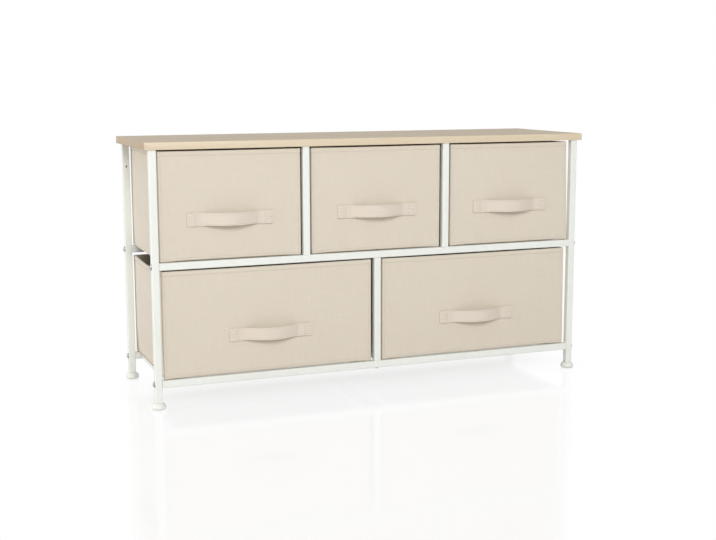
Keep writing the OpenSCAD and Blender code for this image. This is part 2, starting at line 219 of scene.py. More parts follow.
@dataclass
class EffectGroups:
    """Builds each shared effect once, as a node group with named sockets.

    Scales are features a metre, limits the part of a noise that counts.
    """

    slub_scale: float = 700.0
    slub_run: float = 22.0
    slub_height: float = 3.0
    slub_tone: float = 1.5
    thread_tones: tuple[float, float] = (0.43, 0.57)
    figure_scales: tuple[float, float, float] = (1.1, 16.0, 16.0)
    figure_rings: float = 42.0
    streak_scales: tuple[float, float, float] = (3.5, 260.0, 260.0)
    pore_scales: tuple[float, float, float] = (28.0, 1500.0, 1500.0)
    pore_limits: tuple[float, float] = (0.62, 0.74)
    broad_share: float = 0.6
    mottle_limits: tuple[float, float] = (0.32, 0.68)
    dust_slope: float = 0.55
    dust_scale: float = 34.0
    dust_limits: tuple[float, float] = (0.4, 0.72)
    groups: dict[Effect, bpy.types.NodeTree] = field(init=False)

    def __post_init__(self) -> None:
        """Build all the groups."""
        self.groups = {
            Effect.WEAVE: self.weave(),
            Effect.GRAIN: self.grain(),
            Effect.MOTTLE: self.mottle(),
            Effect.SETTLED: self.settled(),
        }

    def start(
        self, effect: Effect, inputs: dict[str, float | None]
    ) -> tuple[NodeBench, list[Socket]]:
        """Make a group with its inputs.

        Args:
            effect: Which effect it is.
            inputs: Names of the inputs with their defaults, None for a vector.

        Returns:
            The bench, and the inputs in order.
        """
        tree = bpy.data.node_groups.new(effect.value, "ShaderNodeTree")
        for name, default in inputs.items():
            kind = "NodeSocketVector" if default is None else "NodeSocketFloat"
            socket = tree.interface.new_socket(name, in_out="INPUT", socket_type=kind)
            if default is not None:
                socket.default_value = default
        source = tree.nodes.new("NodeGroupInput")
        return NodeBench(tree), [source.outputs[name] for name in inputs]

    def close(self, bench: NodeBench, **results: Socket) -> bpy.types.NodeTree:
        """Give a group its outputs.

        Args:
            bench: The group's bench.
            results: What it puts out, by name.

        Returns:
            The group.
        """
        for name in results:
            bench.tree.interface.new_socket(name, in_out="OUTPUT", socket_type="NodeSocketFloat")
        bench.feed(bench.tree.nodes.new("NodeGroupOutput"), **results)
        return bench.tree

    def weave(self) -> bpy.types.NodeTree:
        """Plain weave over and under, with thick and thin threads.

        Returns:
            The group; it puts out the cloth's height and the tone of its threads.
        """
        bench, (vector, pitch, slub) = self.start(
            Effect.WEAVE, {"Vector": None, "Pitch": 0.9 * MM, "Slub": 0.5}
        )
        x, y, _ = bench.axes(vector)
        turns = [bench.math("DIVIDE", axis, pitch) for axis in (x, y)]
        waves = [bench.math("SINE", bench.math("MULTIPLY", turn, math.pi)) for turn in turns]
        height = bench.spread(bench.math("MULTIPLY", *waves), 0.0, 1.0, -1.0, 1.0)
        warp, weft = (
            bench.streaks(vector, (*scales, 1), detail=2.0)
            for scales in ((self.slub_scale, self.slub_run), (self.slub_run, self.slub_scale))
        )
        mean = bench.math("MULTIPLY", bench.math("ADD", warp, weft), 0.5)
        lift = bench.math("MULTIPLY", bench.math("SUBTRACT", mean, 0.5), slub)
        relief = bench.math("ADD", height, bench.math("MULTIPLY", lift, self.slub_height))
        threads = bench.spread(height, *self.thread_tones)
        tone = bench.math("ADD", threads, bench.math("MULTIPLY", lift, self.slub_tone))
        return self.close(bench, Height=relief, Tone=tone)

    def grain(self) -> bpy.types.NodeTree:
        """Wood grain that runs along X, with soft figure, streaks and fine pores.

        Returns:
            The group; it puts out the figure, the streaks and the pores.
        """
        bench, (vector,) = self.start(Effect.GRAIN, {"Vector": None})
        figure = bench.streaks(vector, self.figure_scales, detail=3.0, rough=0.6)
        ring = bench.math("SINE", bench.math("MULTIPLY", figure, self.figure_rings))
        streak = bench.streaks(vector, self.streak_scales, detail=3.0, rough=0.65)
        pore = bench.streaks(vector, self.pore_scales, detail=1.0)
        return self.close(
            bench,
            Figure=bench.spread(ring, 0.0, 1.0, -1.0, 1.0),
            Streak=streak,
            Pore=bench.spread(pore, 0.0, 1.0, *self.pore_limits),
        )

    def mottle(self) -> bpy.types.NodeTree:
        """Soft uneven tone at two scales.

        Returns:
            The group; it puts out a value from 0 to 1.
        """
        bench, (vector, broad, fine) = self.start(
            Effect.MOTTLE, {"Vector": None, "Broad": 6.0, "Fine": 60.0}
        )
        layers = [
            bench.math("MULTIPLY", bench.noise(vector, scale, detail=2.0, rough=0.5), share)
            for scale, share in ((broad, self.broad_share), (fine, 1 - self.broad_share))
        ]
        value = bench.spread(bench.math("ADD", *layers), 0.0, 1.0, *self.mottle_limits)
        return self.close(bench, Value=value)

    def settled(self) -> bpy.types.NodeTree:
        """Faint dust that lies on faces that look up.

        Returns:
            The group; it puts out the share of dust.
        """
        bench, (vector, amount) = self.start(Effect.SETTLED, {"Vector": None, "Amount": 0.3})
        _, _, z = bench.axes(bench.add("NewGeometry").outputs["Normal"])
        upward = bench.spread(z, 0.0, 1.0, self.dust_slope, 1.0)
        noise = bench.noise(vector, self.dust_scale, detail=4.0)
        patch = bench.spread(noise, 0.0, 1.0, *self.dust_limits)
        share = bench.math("MULTIPLY", bench.math("MULTIPLY", upward, patch), amount)
        return self.close(bench, Dust=share)

    def place(self, bench: NodeBench, effect: Effect, **inputs: object) -> Iterable[Socket]:
        """Put a shared effect into a material, and give its outputs."""
        return bench.feed(bench.add("Group", node_tree=self.groups[effect]), **inputs).outputs


@dataclass(frozen=True)
class Kit:
    """What a finish works with: its bench and shader, the effects, the place and the mottle."""

    bench: NodeBench
    shader: Node
    effects: EffectGroups
    place: Socket
    tone: Socket


@dataclass(frozen=True)
class Finish:
    """A finish with a name, the scales of its mottle, and the depth and share of its relief."""

    mottle: ClassVar[tuple[float, float]]
    depth: ClassVar[float]
    relief_share: ClassVar[float]
    name: str

    def material(self, effects: EffectGroups) -> Material:
        """Build the finish's material.

        Args:
            effects: The shared effects.

        Returns:
            The node material.
        """
        made = bpy.data.materials.new(self.name)
        bench = empty_bench(made)
        shader = bench.add("BsdfPrincipled")
        bench.feed(bench.add("OutputMaterial"), Surface=shader.outputs["BSDF"])
        place = bench.object_place()
        broad, fine = self.mottle
        (tone,) = effects.place(bench, Effect.MOTTLE, Vector=place, Broad=broad, Fine=fine)
        colour, rough, height = self.dress(Kit(bench, shader, effects, place, tone))
        bump = bench.feed(bench.add("Bump"), Height=height, Distance=self.depth)
        bench.feed(bump, Strength=self.relief_share)
        bench.feed(shader, Base_Color=colour, Roughness=rough, Normal=bump.outputs["Normal"])
        return made

    def dress(self, kit: Kit) -> Surface:
        """Give the surface's colour, roughness and height; each kind has its own."""
        raise NotImplementedError


@dataclass(frozen=True)
class PowderCoat(Finish):
    """Satin powder coat on steel, with a faint orange peel."""

    colour: Colour
    shade: Colour
    dust: Colour
    bare_steel_and_shade: Colour
    leg_axes: tuple[float, float, float]
    bore_half: float
    roughness: float = 0.42
    uneven_rough: float = 0.07
    dusting: float = 0.18
    peel_scale: float = 900.0
    mottle = (5.0, 90.0)
    depth = 0.03 * MM
    relief_share = 0.6

    def inside_leg(self, bench: NodeBench, place: Socket) -> Socket:
        """Give 1 on the inside of the four legs: uncoated steel, painted dark so that the bores
        read as shade.

        Args:
            bench: The material's bench.
            place: Object coordinates.

        Returns:
            The mask.
        """
        x, y, _ = bench.axes(place)
        half_x, middle_y, half_y = self.leg_axes
        deep = bench.math("SUBTRACT", y, middle_y)
        away = [
            bench.math("ABSOLUTE", bench.math("SUBTRACT", bench.math("ABSOLUTE", axis), half))
            for axis, half in ((x, half_x), (deep, half_y))
        ]
        return bench.math("LESS_THAN", bench.math("MAXIMUM", *away), self.bore_half)

    def dress(self, kit: Kit) -> Surface:
        """Uneven white, dust on upward faces, dark bare steel with painted shade inside the legs,
        orange peel.

        Args:
            kit: What the finish works with.

        Returns:
            Colour, roughness and height.
        """
        bench = kit.bench
        coat = bench.blend(kit.tone, self.shade, self.colour)
        (dust,) = kit.effects.place(bench, Effect.SETTLED, Vector=kit.place, Amount=self.dusting)
        dusty = bench.blend(dust, coat, self.dust)
        # Painted shade: the inside of the leg tubes, seen through the anchor holes, is painted near
        # black, over what is uncoated steel
        colour = bench.blend(self.inside_leg(bench, kit.place), dusty, self.bare_steel_and_shade)
        rough = bench.spread(kit.tone, self.roughness + self.uneven_rough, self.roughness)
        return colour, rough, bench.noise(kit.place, self.peel_scale, detail=2.0)


@dataclass(frozen=True)
class WoodLaminate(Finish):
    """Printed wood paper on the board, grain along its length, under a matt film."""

    colour: Colour
    figure: Colour
    pore: Colour
    figure_share: float = 0.55
    roughness: float = 0.46
    gloss: float = 0.5
    # Painted shade on the short ends: where along x it starts, how strong it is, and how far it
    # fades in
    end_shade_from: float = 0.0
    end_shade_share: float = 0.0
    end_shade_fade: float = 0.4 * MM
    uneven_share: float = 0.22
    streak_limits: tuple[float, float] = (0.3, 0.75)
    uneven_rough: float = 0.12
    pore_share: float = 0.35
    mottle = (3.0, 14.0)
    depth = 0.05 * MM
    relief_share = 0.5

    def dress(self, kit: Kit) -> Surface:
        """Figure, streaks and pores, pressed a little into the film, and painted shade darkening
        the short ends.

        Args:
            kit: What the finish works with.

        Returns:
            Colour, roughness and height.
        """
        bench = kit.bench
        figure, grain_streak, pore = kit.effects.place(bench, Effect.GRAIN, Vector=kit.place)
        streak = bench.spread(grain_streak, 0.0, 1.0, *self.streak_limits)
        drawn = bench.math("MULTIPLY", bench.math("ADD", figure, streak), 0.5)
        share = bench.math("MULTIPLY", drawn, self.figure_share)
        wood = bench.blend(share, self.colour, self.figure)
        toned = bench.blend(bench.spread(kit.tone, 0.0, self.uneven_share), wood, self.figure)
        # Painted shade: the band's two short ends are blended towards the pore colour, as a shaded
        # end face looks
        if self.end_shade_share:
            x, _, _ = bench.axes(kit.place)
            limits = (self.end_shade_from, self.end_shade_from + self.end_shade_fade)
            ends = bench.spread(bench.math("ABSOLUTE", x), 0.0, self.end_shade_share, *limits)
            toned = bench.blend(ends, toned, self.pore)
        pores = bench.math("MULTIPLY", pore, self.pore_share)
        bench.feed(kit.shader, Specular_IOR_Level=self.gloss)
        rough_limits = (self.roughness, self.roughness + self.uneven_rough)
        rough = bench.spread(grain_streak, *rough_limits, *self.streak_limits)
        return bench.blend(pores, toned, self.pore), rough, bench.math("SUBTRACT", 1.0, pores)


@dataclass(frozen=True)
class LinenLookCloth(Finish):
    """Plain-woven polyester with thick and thin threads."""

    colour: Colour
    shade: Colour
    pitch: float = 0.85 * MM
    slub: float = 0.5
    uv_name: str = "cloth"
    dusting: float = 0.1
    thread_limits: tuple[float, float] = (0.2, 0.8)
    dye_share: float = 0.16
    rough_limits: tuple[float, float] = (0.95, 0.82)
    gloss: float = 0.25
    sheen: float = 0.12
    sheen_rough: float = 0.5
    mottle = (7.0, 45.0)
    depth = 0.08 * MM
    relief_share = 0.4

    def dress(self, kit: Kit) -> Surface:
        """Weave in colour and relief, a soft sheen and a slightly uneven dye.

        Args:
            kit: What the finish works with.

        Returns:
            Colour, roughness and height.
        """
        bench = kit.bench
        cloth = bench.add("UVMap", uv_map=self.uv_name).outputs["UV"]
        height, thread = kit.effects.place(
            bench, Effect.WEAVE, Vector=cloth, Pitch=self.pitch, Slub=self.slub
        )
        (dust,) = kit.effects.place(bench, Effect.SETTLED, Vector=kit.place, Amount=self.dusting)
        drawn = bench.spread(thread, 0.0, 1.0, *self.thread_limits)
        threads = bench.blend(drawn, self.shade, self.colour)
        dyed = bench.blend(bench.spread(kit.tone, 0.0, self.dye_share), threads, self.shade)
        bench.feed(kit.shader, Specular_IOR_Level=self.gloss)
        bench.feed(kit.shader, Sheen_Weight=self.sheen, Sheen_Roughness=self.sheen_rough)
        rough = bench.spread(height, *self.rough_limits)
        return bench.blend(dust, dyed, self.colour), rough, height


@dataclass(frozen=True)
class SewingThread(Finish):
    """Twisted polyester sewing thread."""

    colour: Colour
    shade: Colour
    twist: float = 1700.0
    twist_distortion: float = 0.6
    twist_share: float = 0.7
    uneven_share: float = 0.2
    rough_limits: tuple[float, float] = (0.7, 0.5)
    mottle = (30.0, 200.0)
    depth = 0.05 * MM
    relief_share = 0.5

    def dress(self, kit: Kit) -> Surface:
        """Fine twist bands with a little gloss.

        Args:
            kit: What the finish works with.

        Returns:
            Colour, roughness and height.
        """
        bench = kit.bench
        wave = bench.add("TexWave", bands_direction="DIAGONAL")
        bench.feed(wave, Vector=kit.place, Scale=self.twist, Distortion=self.twist_distortion)
        band = wave.outputs["Fac"]
        share = bench.math("MULTIPLY", band, self.twist_share)
        twisted = bench.blend(share, self.shade, self.colour)
        uneven = bench.spread(kit.tone, 0.0, self.uneven_share)
        rough = bench.spread(band, *self.rough_limits)
        return bench.blend(uneven, twisted, self.shade), rough, band


@dataclass(frozen=True)
class ZincPlate(Finish):
    """Bright zinc plate on bolts and washers."""

    colour: Colour
    dull: Colour
    rough_limits: tuple[float, float] = (0.52, 0.3)
    grit_scale: float = 1400.0
    mottle = (160.0, 700.0)
    depth = 0.02 * MM
    relief_share = 0.5

    def dress(self, kit: Kit) -> Surface:
        """Spangled metal with duller patches.

        Args:
            kit: What the finish works with.

        Returns:
            Colour, roughness and height.
        """
        bench = kit.bench
        bench.feed(kit.shader, Metallic=1.0)
        colour = bench.blend(kit.tone, self.dull, self.colour)
        rough = bench.spread(kit.tone, *self.rough_limits)
        return colour, rough, bench.noise(kit.place, self.grit_scale, detail=2.0)


@dataclass(frozen=True)
class MouldedPlastic(Finish):
    """Injection-moulded plastic with a fine spark-eroded surface."""

    colour: Colour
    scuff: Colour
    roughness: float = 0.4
    uneven_rough: float = 0.12
    scuff_height: float = 6 * MM
    scuff_share: float = 0.6
    uneven_share: float = 0.12
    grit_scale: float = 2200.0
    mottle = (40.0, 350.0)
    depth = 0.02 * MM
    relief_share = 0.5

    def dress(self, kit: Kit) -> Surface:
        """Even plastic, scuffed near the floor.

        Args:
            kit: What the finish works with.

        Returns:
            Colour, roughness and height.
        """
        bench = kit.bench
        _, _, z = bench.axes(kit.place)
        low = bench.spread(z, self.scuff_share, 0.0, 0.0, self.scuff_height)
        scuffed = bench.math("MULTIPLY", low, kit.tone)
        uneven = bench.math("MULTIPLY", kit.tone, self.uneven_share)
        colour = bench.blend(bench.math("ADD", scuffed, uneven), self.colour, self.scuff)
        rough = bench.spread(kit.tone, self.roughness, self.roughness + self.uneven_rough)
        return colour, rough, bench.noise(kit.place, self.grit_scale, detail=1.0)


@dataclass(frozen=True)
class PressedBoard(Finish):
    """Brown hardboard, pressed from wood fibre."""

    colour: Colour
    fibre: Colour
    fibre_scales: tuple[float, float, float] = (90.0, 900.0, 400.0)
    fibre_share: float = 0.8
    fibre_limits: tuple[float, float] = (0.5, 0.72)
    uneven_share: float = 0.35
    rough_limits: tuple[float, float] = (0.62, 0.85)
    rough_from: tuple[float, float] = (0.4, 0.75)
    mottle = (9.0, 120.0)
    depth = 0.08 * MM
    relief_share = 0.6

    def dress(self, kit: Kit) -> Surface:
        """Short fibres both ways in a mottled brown.

        Args:
            kit: What the finish works with.

        Returns:
            Colour, roughness and height.
        """
        bench = kit.bench
        long, short, deep = self.fibre_scales
        strands = [
            bench.streaks(kit.place, scales, detail=3.0)
            for scales in ((long, short, deep), (short, long, deep))
        ]
        fibres = bench.math("MAXIMUM", *strands)
        share = bench.spread(fibres, 0.0, self.fibre_share, *self.fibre_limits)
        pressed = bench.blend(share, self.colour, self.fibre)
        colour = bench.blend(bench.spread(kit.tone, 0.0, self.uneven_share), pressed, self.fibre)
        return colour, bench.spread(fibres, *self.rough_limits, *self.rough_from), fibres


class Paints:
    """Every finish of the dresser, each built once."""

    def __init__(self) -> None:
        """Build the shared effects and the materials."""
        effects = EffectGroups()
        self.steel = PowderCoat(
            "white_powder_coat",
            colour=paint(234, 236, 230),
            shade=paint(229, 231, 225),
            dust=paint(219, 218, 212),
            # Bare steel inside the legs, darkened as painted shade in the tube bores
            bare_steel_and_shade=paint(52, 51, 50),
            leg_axes=(0.4825, 0.00625, 0.1395),
            bore_half=6.6 * MM,
        ).material(effects)
        self.laminate = WoodLaminate(
            "pale_oak_laminate",
            colour=paint(197, 182, 158),
            figure=paint(180, 162, 135),
            pore=paint(155, 135, 109),
            gloss=0.3,
        ).material(effects)
        self.band = WoodLaminate(
            "pale_oak_edge_band",
            colour=paint(219, 204, 178),
            figure=paint(208, 189, 159),
            pore=paint(174, 152, 122),
            figure_share=0.4,
            roughness=0.4,
            # The short ends carry painted shade, blended almost fully to the pore colour
            end_shade_from=0.4985,
            end_shade_share=0.95,
        ).material(effects)
        self.cloth = LinenLookCloth(
            "beige_linen_look_cloth", colour=paint(224, 215, 200), shade=paint(209, 198, 181)
        ).material(effects)
        self.strap = LinenLookCloth(
            "beige_strap_cloth",
            colour=paint(226, 215, 203),
            shade=paint(212, 200, 185),
            pitch=0.7 * MM,
            slub=0.3,
        ).material(effects)
        self.thread = SewingThread(
            "beige_sewing_thread", colour=paint(208, 196, 180), shade=paint(184, 170, 152)
        ).material(effects)
        self.zinc = ZincPlate(
            "bright_zinc_plate", colour=paint(178, 178, 176), dull=paint(134, 134, 132)
        ).material(effects)
        self.plug = MouldedPlastic(
            "dark_plug_plastic", colour=paint(74, 74, 76), scuff=paint(104, 103, 101), roughness=0.5
        ).material(effects)
        self.foot = MouldedPlastic(
            "white_foot_plastic",
            colour=paint(233, 233, 226),
            scuff=paint(205, 202, 192),
            roughness=0.38,
        ).material(effects)
        self.hardboard = PressedBoard(
            "brown_hardboard", colour=paint(160, 128, 96), fibre=paint(128, 98, 70)
        ).material(effects)


def deselect_all() -> None:
    """Leave nothing selected, in object mode."""
    if bpy.context.object and bpy.context.object.mode != "OBJECT":
        bpy.ops.object.mode_set(mode="OBJECT")
    bpy.ops.object.select_all(action="DESELECT")


def choose(piece: Piece) -> None:
    """Select one piece alone and make it the active one.

    Args:
        piece: The piece.
    """
    deselect_all()
    piece.select_set(True)
    bpy.context.view_layer.objects.active = piece


def open_mesh(piece: Piece) -> None:
    """Open a piece in edit mode with nothing selected.

    Args:
        piece: The piece.
    """
    choose(piece)
    bpy.ops.object.mode_set(mode="EDIT")
    bpy.ops.mesh.select_all(action="DESELECT")


def close_mesh() -> None:
    """Go back to object mode."""
    bpy.ops.object.mode_set(mode="OBJECT")


class Pick(Enum):
    """What is picked in an open mesh."""

    EDGES = "EDGE"
    FACES = "FACE"


def pick(piece: Piece, what: Pick, test: Test) -> None:
    """Select the edges or faces of an open piece that pass a test, and only those.

    Args:
        piece: The piece in edit mode.
        what: Edges or faces.
        test: Takes an edge's middle and unit direction, or a face's middle and normal.
    """
    bpy.ops.mesh.select_mode(type=what.value)
    bpy.ops.mesh.select_all(action="DESELECT")
    mesh = bmesh.from_edit_mesh(piece.data)
    if what is Pick.EDGES:
        for edge in mesh.edges:
            start, end = (v.co for v in edge.verts)
            if test((start + end) / 2, (end - start).normalized()):
                edge.select_set(True)
    else:
        mesh.normal_update()
        for face in mesh.faces:
            if test(face.calc_center_median(), face.normal):
                face.select_set(True)
    bmesh.update_edit_mesh(piece.data)


def stretch_new(size: Sequence[float]) -> Piece:
    """Stretch the primitive that was just added, and apply that.

    Args:
        size: Factors along the three axes.

    Returns:
        The primitive.
    """
    bpy.ops.transform.resize(value=size)
    bpy.ops.object.transform_apply(location=True, rotation=True, scale=True)
    return bpy.context.object


def finish_modifier(piece: Piece, kind: str, **settings: object) -> None:
    """Add a modifier to a piece and apply it.

    Args:
        piece: The piece.
        kind: The modifier's type.
        settings: The modifier's properties.
    """
    choose(piece)
    modifier = piece.modifiers.new(kind.lower(), kind)
    for name, value in settings.items():
        setattr(modifier, name, value)
    bpy.ops.object.modifier_apply(modifier=modifier.name)


def dress_mesh(piece: Piece, finish: Material) -> None:
    """Give a piece one finish alone."""
    piece.data.materials.clear()
    piece.data.materials.append(finish)


def settle(piece: Piece, name: str, finish: Material) -> Piece:
    """Name and dress a finished piece, and put its place into its mesh.

    Args:
        piece: The piece.
        name: Its name.
        finish: Its material.

    Returns:
        The same piece.
    """
    bpy.context.view_layer.update()
    piece.data.transform(piece.matrix_world)
    piece.matrix_world = Matrix.Identity(4)
    piece.name = name
    piece.data.name = name
    dress_mesh(piece, finish)
    return piece


def smooth(piece: Piece, degrees: float) -> None:
    """Shade a piece smooth, keeping edges sharper than an angle."""
    choose(piece)
    bpy.ops.object.shade_smooth_by_angle(angle=math.radians(degrees))


def coordinates(mesh: Mesh) -> np.ndarray:
    """Read a mesh's points.

    Args:
        mesh: The mesh.

    Returns:
        Rows of x, y and z.
    """
    points = np.zeros(len(mesh.vertices) * 3)
    mesh.vertices.foreach_get("co", points)
    return points.reshape(-1, 3)


def put_points(mesh: Mesh, points: np.ndarray) -> None:
    """Write rows of x, y and z back to a mesh."""
    mesh.vertices.foreach_set("co", points.ravel())


def new_piece(name: str, mesh: Mesh) -> Piece:
    """Put a mesh into the scene.

    Args:
        name: The piece's name.
        mesh: Its mesh.

    Returns:
        The piece.
    """
    piece = bpy.data.objects.new(name, mesh)
    bpy.context.scene.collection.objects.link(piece)
    return piece


def stamp(
    name: str,
    pattern: Mesh,
    places: np.ndarray,
    finish: Material,
    origin: Sequence[float] = (0.0, 0.0, 0.0),
) -> Piece:
    """Copy one small modelled shape to many places, as one piece.

    Args:
        name: The piece's name.
        pattern: Mesh of the small shape.
        places: Four by four matrices, one for each copy.
        finish: The material.
        origin: Where the matrices' own origin lies.

    Returns:
        The new piece.
    """
    count = len(pattern.vertices)
    shape = np.c_[coordinates(pattern), np.ones(count)]
    points = np.einsum("nij,vj->nvi", places, shape)[..., :3].reshape(-1, 3) + np.array(origin)
    faces = [list(p.vertices) for p in pattern.polygons]
    rows = [[v + i * count for v in face] for i in range(len(places)) for face in faces]
    mesh = bpy.data.meshes.new(name)
    mesh.from_pydata(points.tolist(), [], rows)
    mesh.update()
    piece = new_piece(name, mesh)
    smooth(piece, SHARP_SMALL)
    return settle(piece, name, finish)


def lay_along(place: np.ndarray, along: np.ndarray, out: np.ndarray) -> np.ndarray:
    """Make the matrix that lays a shape's X along one direction and its Z along another.

    Args:
        place: Where the shape's origin goes.
        along: Direction of the shape's X.
        out: Direction of the shape's Z, made square to along.

    Returns:
        The four by four matrix.
    """
    x_axis = along / np.linalg.norm(along)
    y_axis = np.cross(out, x_axis)
    y_axis = y_axis / np.linalg.norm(y_axis)
    matrix = np.eye(4)
    matrix[:3] = np.c_[x_axis, y_axis, np.cross(x_axis, y_axis), place]
    return matrix


def model_bar(sides: int, thick: float, length: float, cuts: int) -> Piece:
    """Model a round bar along X, cut across.

    Args:
        sides: Number of its sides.
        thick: Its thickness.
        length: Its length.
        cuts: Number of cuts across it.

    Returns:
        The bar, in edit mode.
    """
    deselect_all()
    bpy.ops.mesh.primitive_cylinder_add(
        vertices=sides, radius=thick / 2, depth=length, rotation=(0, math.pi / 2, 0)
    )
    piece = bpy.context.object
    bpy.ops.object.transform_apply(location=True, rotation=True, scale=True)
    open_mesh(piece)
    pick(piece, Pick.EDGES, lambda _middle, along: abs(along.x) > ALONG)
    bpy.ops.mesh.subdivide(number_cuts=cuts)
    return piece


def keep_mesh(piece: Piece, points: np.ndarray) -> Mesh:
    """Move a small shape's points, and keep its mesh without its object.

    Args:
        piece: The shape.
        points: Its points' new places.

    Returns:
        The mesh.
    """
    mesh = piece.data
    put_points(mesh, points)
    bpy.data.objects.remove(piece)
    return mesh


def held(share: np.ndarray) -> np.ndarray:
    """Hold a share between 0 and 1."""
    return np.clip(share, 0, 1)


def eased(share: np.ndarray) -> np.ndarray:
    """Hold a share between 0 and 1, with a soft start and a soft end."""
    return held(share) ** 2 * (3 - 2 * held(share))


def dent(away: np.ndarray, width: float) -> np.ndarray:
    """Depth of the dent that a seam pulls, 1 on the seam, at some distance from it."""
    return np.exp(-((away / width) ** 2))


def between(start: float, end: float, step: float) -> np.ndarray:
    """Part a length into equal steps near a size, and give the stops without its ends."""
    return np.linspace(start, end, round(abs(end - start) / step) + 1)[1:-1]


def turned(degrees: Iterable[float]) -> list[tuple[float, float]]:
    """Give the sine and cosine of each angle."""
    return [(math.sin(math.radians(d)), math.cos(math.radians(d))) for d in degrees]


class Row(Enum):
    """Levels of the dresser."""

    LOWER = "lower"
    UPPER = "upper"


BINS = {
    Row.LOWER: ("lower_left", "lower_right"),
    Row.UPPER: ("upper_left", "upper_middle", "upper_right"),
}


@dataclass(frozen=True)
class Habit:
    """How one drawer's soft walls have settled, seen from the front."""

    left_top: float = 0.0
    left_foot: float = 0.0
    right_top: float = 0.0
    right_foot: float = 0.0
    rim_rise: float = 1.2 * MM
    rim_sag: float = 0.6 * MM
    rear_drop: float = 0.0
    side_bulge: float = 0.6 * MM
    foot_tuck: float = 0.0
    strap_x: float = 0.0
    strap_z: float = 0.0


HABITS = {
    "lower_left": Habit(
        right_top=1.0 * MM,
        right_foot=1.0 * MM,
        rim_sag=4.4 * MM,
        rear_drop=2.2 * MM,
        side_bulge=2.4 * MM,
        foot_tuck=9.0 * MM,
        strap_x=0.3 * MM,
        strap_z=-1.2 * MM,
    ),
    "lower_right": Habit(right_top=5.9 * MM, right_foot=3.4 * MM),
    "upper_left": Habit(
        left_top=-2.2 * MM,
        left_foot=-2.2 * MM,
        right_top=-1.2 * MM,
        right_foot=-1.2 * MM,
        side_bulge=1.0 * MM,
        strap_x=-3.0 * MM,
    ),
    "upper_middle": Habit(strap_z=2.5 * MM),
    "upper_right": Habit(
        left_top=1.0 * MM,
        left_foot=1.0 * MM,
        right_top=5.3 * MM,
        right_foot=-1.2 * MM,
        strap_x=-1.5 * MM,
        strap_z=0.8 * MM,
    ),
}


@dataclass(frozen=True)
class Waves:
    """Slow unevenness of one drawer's cloth, the same at every run.

    Each layer has its turns round the drawer and its turns a metre up it.
    """

    seed: int
    habit: Habit = Habit()
    reach: float = 0.45 * MM
    skew: float = 3.0
    layers: tuple[tuple[int, float], ...] = ((3, 5.0), (7, 9.0), (12, 14.0), (19, 6.0))
    leans: tuple[float, float] = (0.7, 1.3)

    def at(self, share: np.ndarray, height: np.ndarray) -> np.ndarray:
        """Give the unevenness.

        Args:
            share: Share of the way round the drawer, 0 to 1.
            height: Heights above the drawer's bottom.

        Returns:
            Distances outwards.
        """
        chance = np.random.default_rng(self.seed)
        total = np.zeros(len(share))
        for turns, rise in self.layers:
            phase = chance.uniform(0, 2 * math.pi, 2)
            lean = chance.uniform(*self.leans)
            around = 2 * math.pi * turns * share + phase[0] + self.skew * height * rise
            total += np.sin(around) * np.sin(rise * lean * height * 2 * math.pi + phase[1])
        return total * self.reach / 2


class Side(IntEnum):
    """Sides of a drawer, in the order in which its wall's line runs."""

    FRONT = 0
    RIGHT = 1
    BACK = 2
    LEFT = 3


@dataclass(frozen=True)
class WallPoints:
    """Points on the line of a drawer's wall, as arrays.

    point and out: Place and outward direction, in two columns.
    side: The side that each is on, or that its corner follows.
    edge: Distance from the nearer end of the straight side, 0 in a corner.
    share: Share of the way along the side, 1 in a corner.
    """

    point: np.ndarray
    out: np.ndarray
    side: np.ndarray
    edge: np.ndarray
    share: np.ndarray


@dataclass
class RoundedWall:
    """The line of a drawer's wall seen from above: a rectangle with rounded corners.

    Positions along it are metres from the left end of the front's straight part.
    """

    width: float
    depth: float
    corner: float

    def __post_init__(self) -> None:
        """Work out the lengths of the straight sides, the arcs and the whole line."""
        self.sides = (self.width - 2 * self.corner, self.depth - 2 * self.corner) * 2
        self.arc = math.pi / 2 * self.corner
        self.length = sum(self.sides) + 4 * self.arc

    def starts(self) -> list[float]:
        """Find where the sides start.

        Returns:
            The position at which each side starts: front, right, back, left.
        """
        found = [0.0]
        for side in self.sides[:-1]:
            found.append(found[-1] + side + self.arc)
        return found

    def at(self, where: np.ndarray) -> WallPoints:
        """Find points of the line.

        Args:
            where: Positions along the line.

        Returns:
            The points.
        """
        where = np.mod(where, self.length)
        count = len(where)
        found = WallPoints(
            point=np.zeros((count, 2)),
            out=np.zeros((count, 2)),
            side=np.zeros(count, int),
            edge=np.zeros(count),
            share=np.zeros(count),
        )
        for side, start, straight in zip(Side, self.starts(), self.sides):
            ahead = math.pi / 2 * side
            along = np.array([math.cos(ahead), math.sin(ahead)])
            facing = np.array([along[1], -along[0]])
            half_across = (self.width if side in (Side.RIGHT, Side.LEFT) else self.depth) / 2
            middle = facing * half_across
            end = start + straight
            on = (where >= start - NOTHING) & (where <= end + NOTHING)
            run = where[on] - start
            found.point[on] = middle + np.outer(run - straight / 2, along)
            found.out[on] = facing
            found.edge[on] = np.minimum(run, straight - run)
            found.share[on] = run / straight
            found.side[on] = side
            bend = (where > end + NOTHING) & (where < end + self.arc - NOTHING)
            turn = ahead + (where[bend] - end) / self.corner
            spoke = np.c_[np.sin(turn), -np.cos(turn)]
            centre = middle + along * straight / 2 - facing * self.corner
            found.point[bend] = centre + spoke * self.corner
            found.out[bend] = spoke
            found.side[bend] = side
            found.share[bend] = 1.0
        return found


class Part(Enum):
    """Which part of the sewn box a ring of points belongs to."""

    UNDERSIDE = 0
    WALL = 1
    LINING = 2
    INSIDE_FLOOR = 3


@dataclass(frozen=True)
class Ring:
    """One ring of the sewn box."""

    part: Part
    height: float
    outset: float = 0.0
    scale: float = 1.0


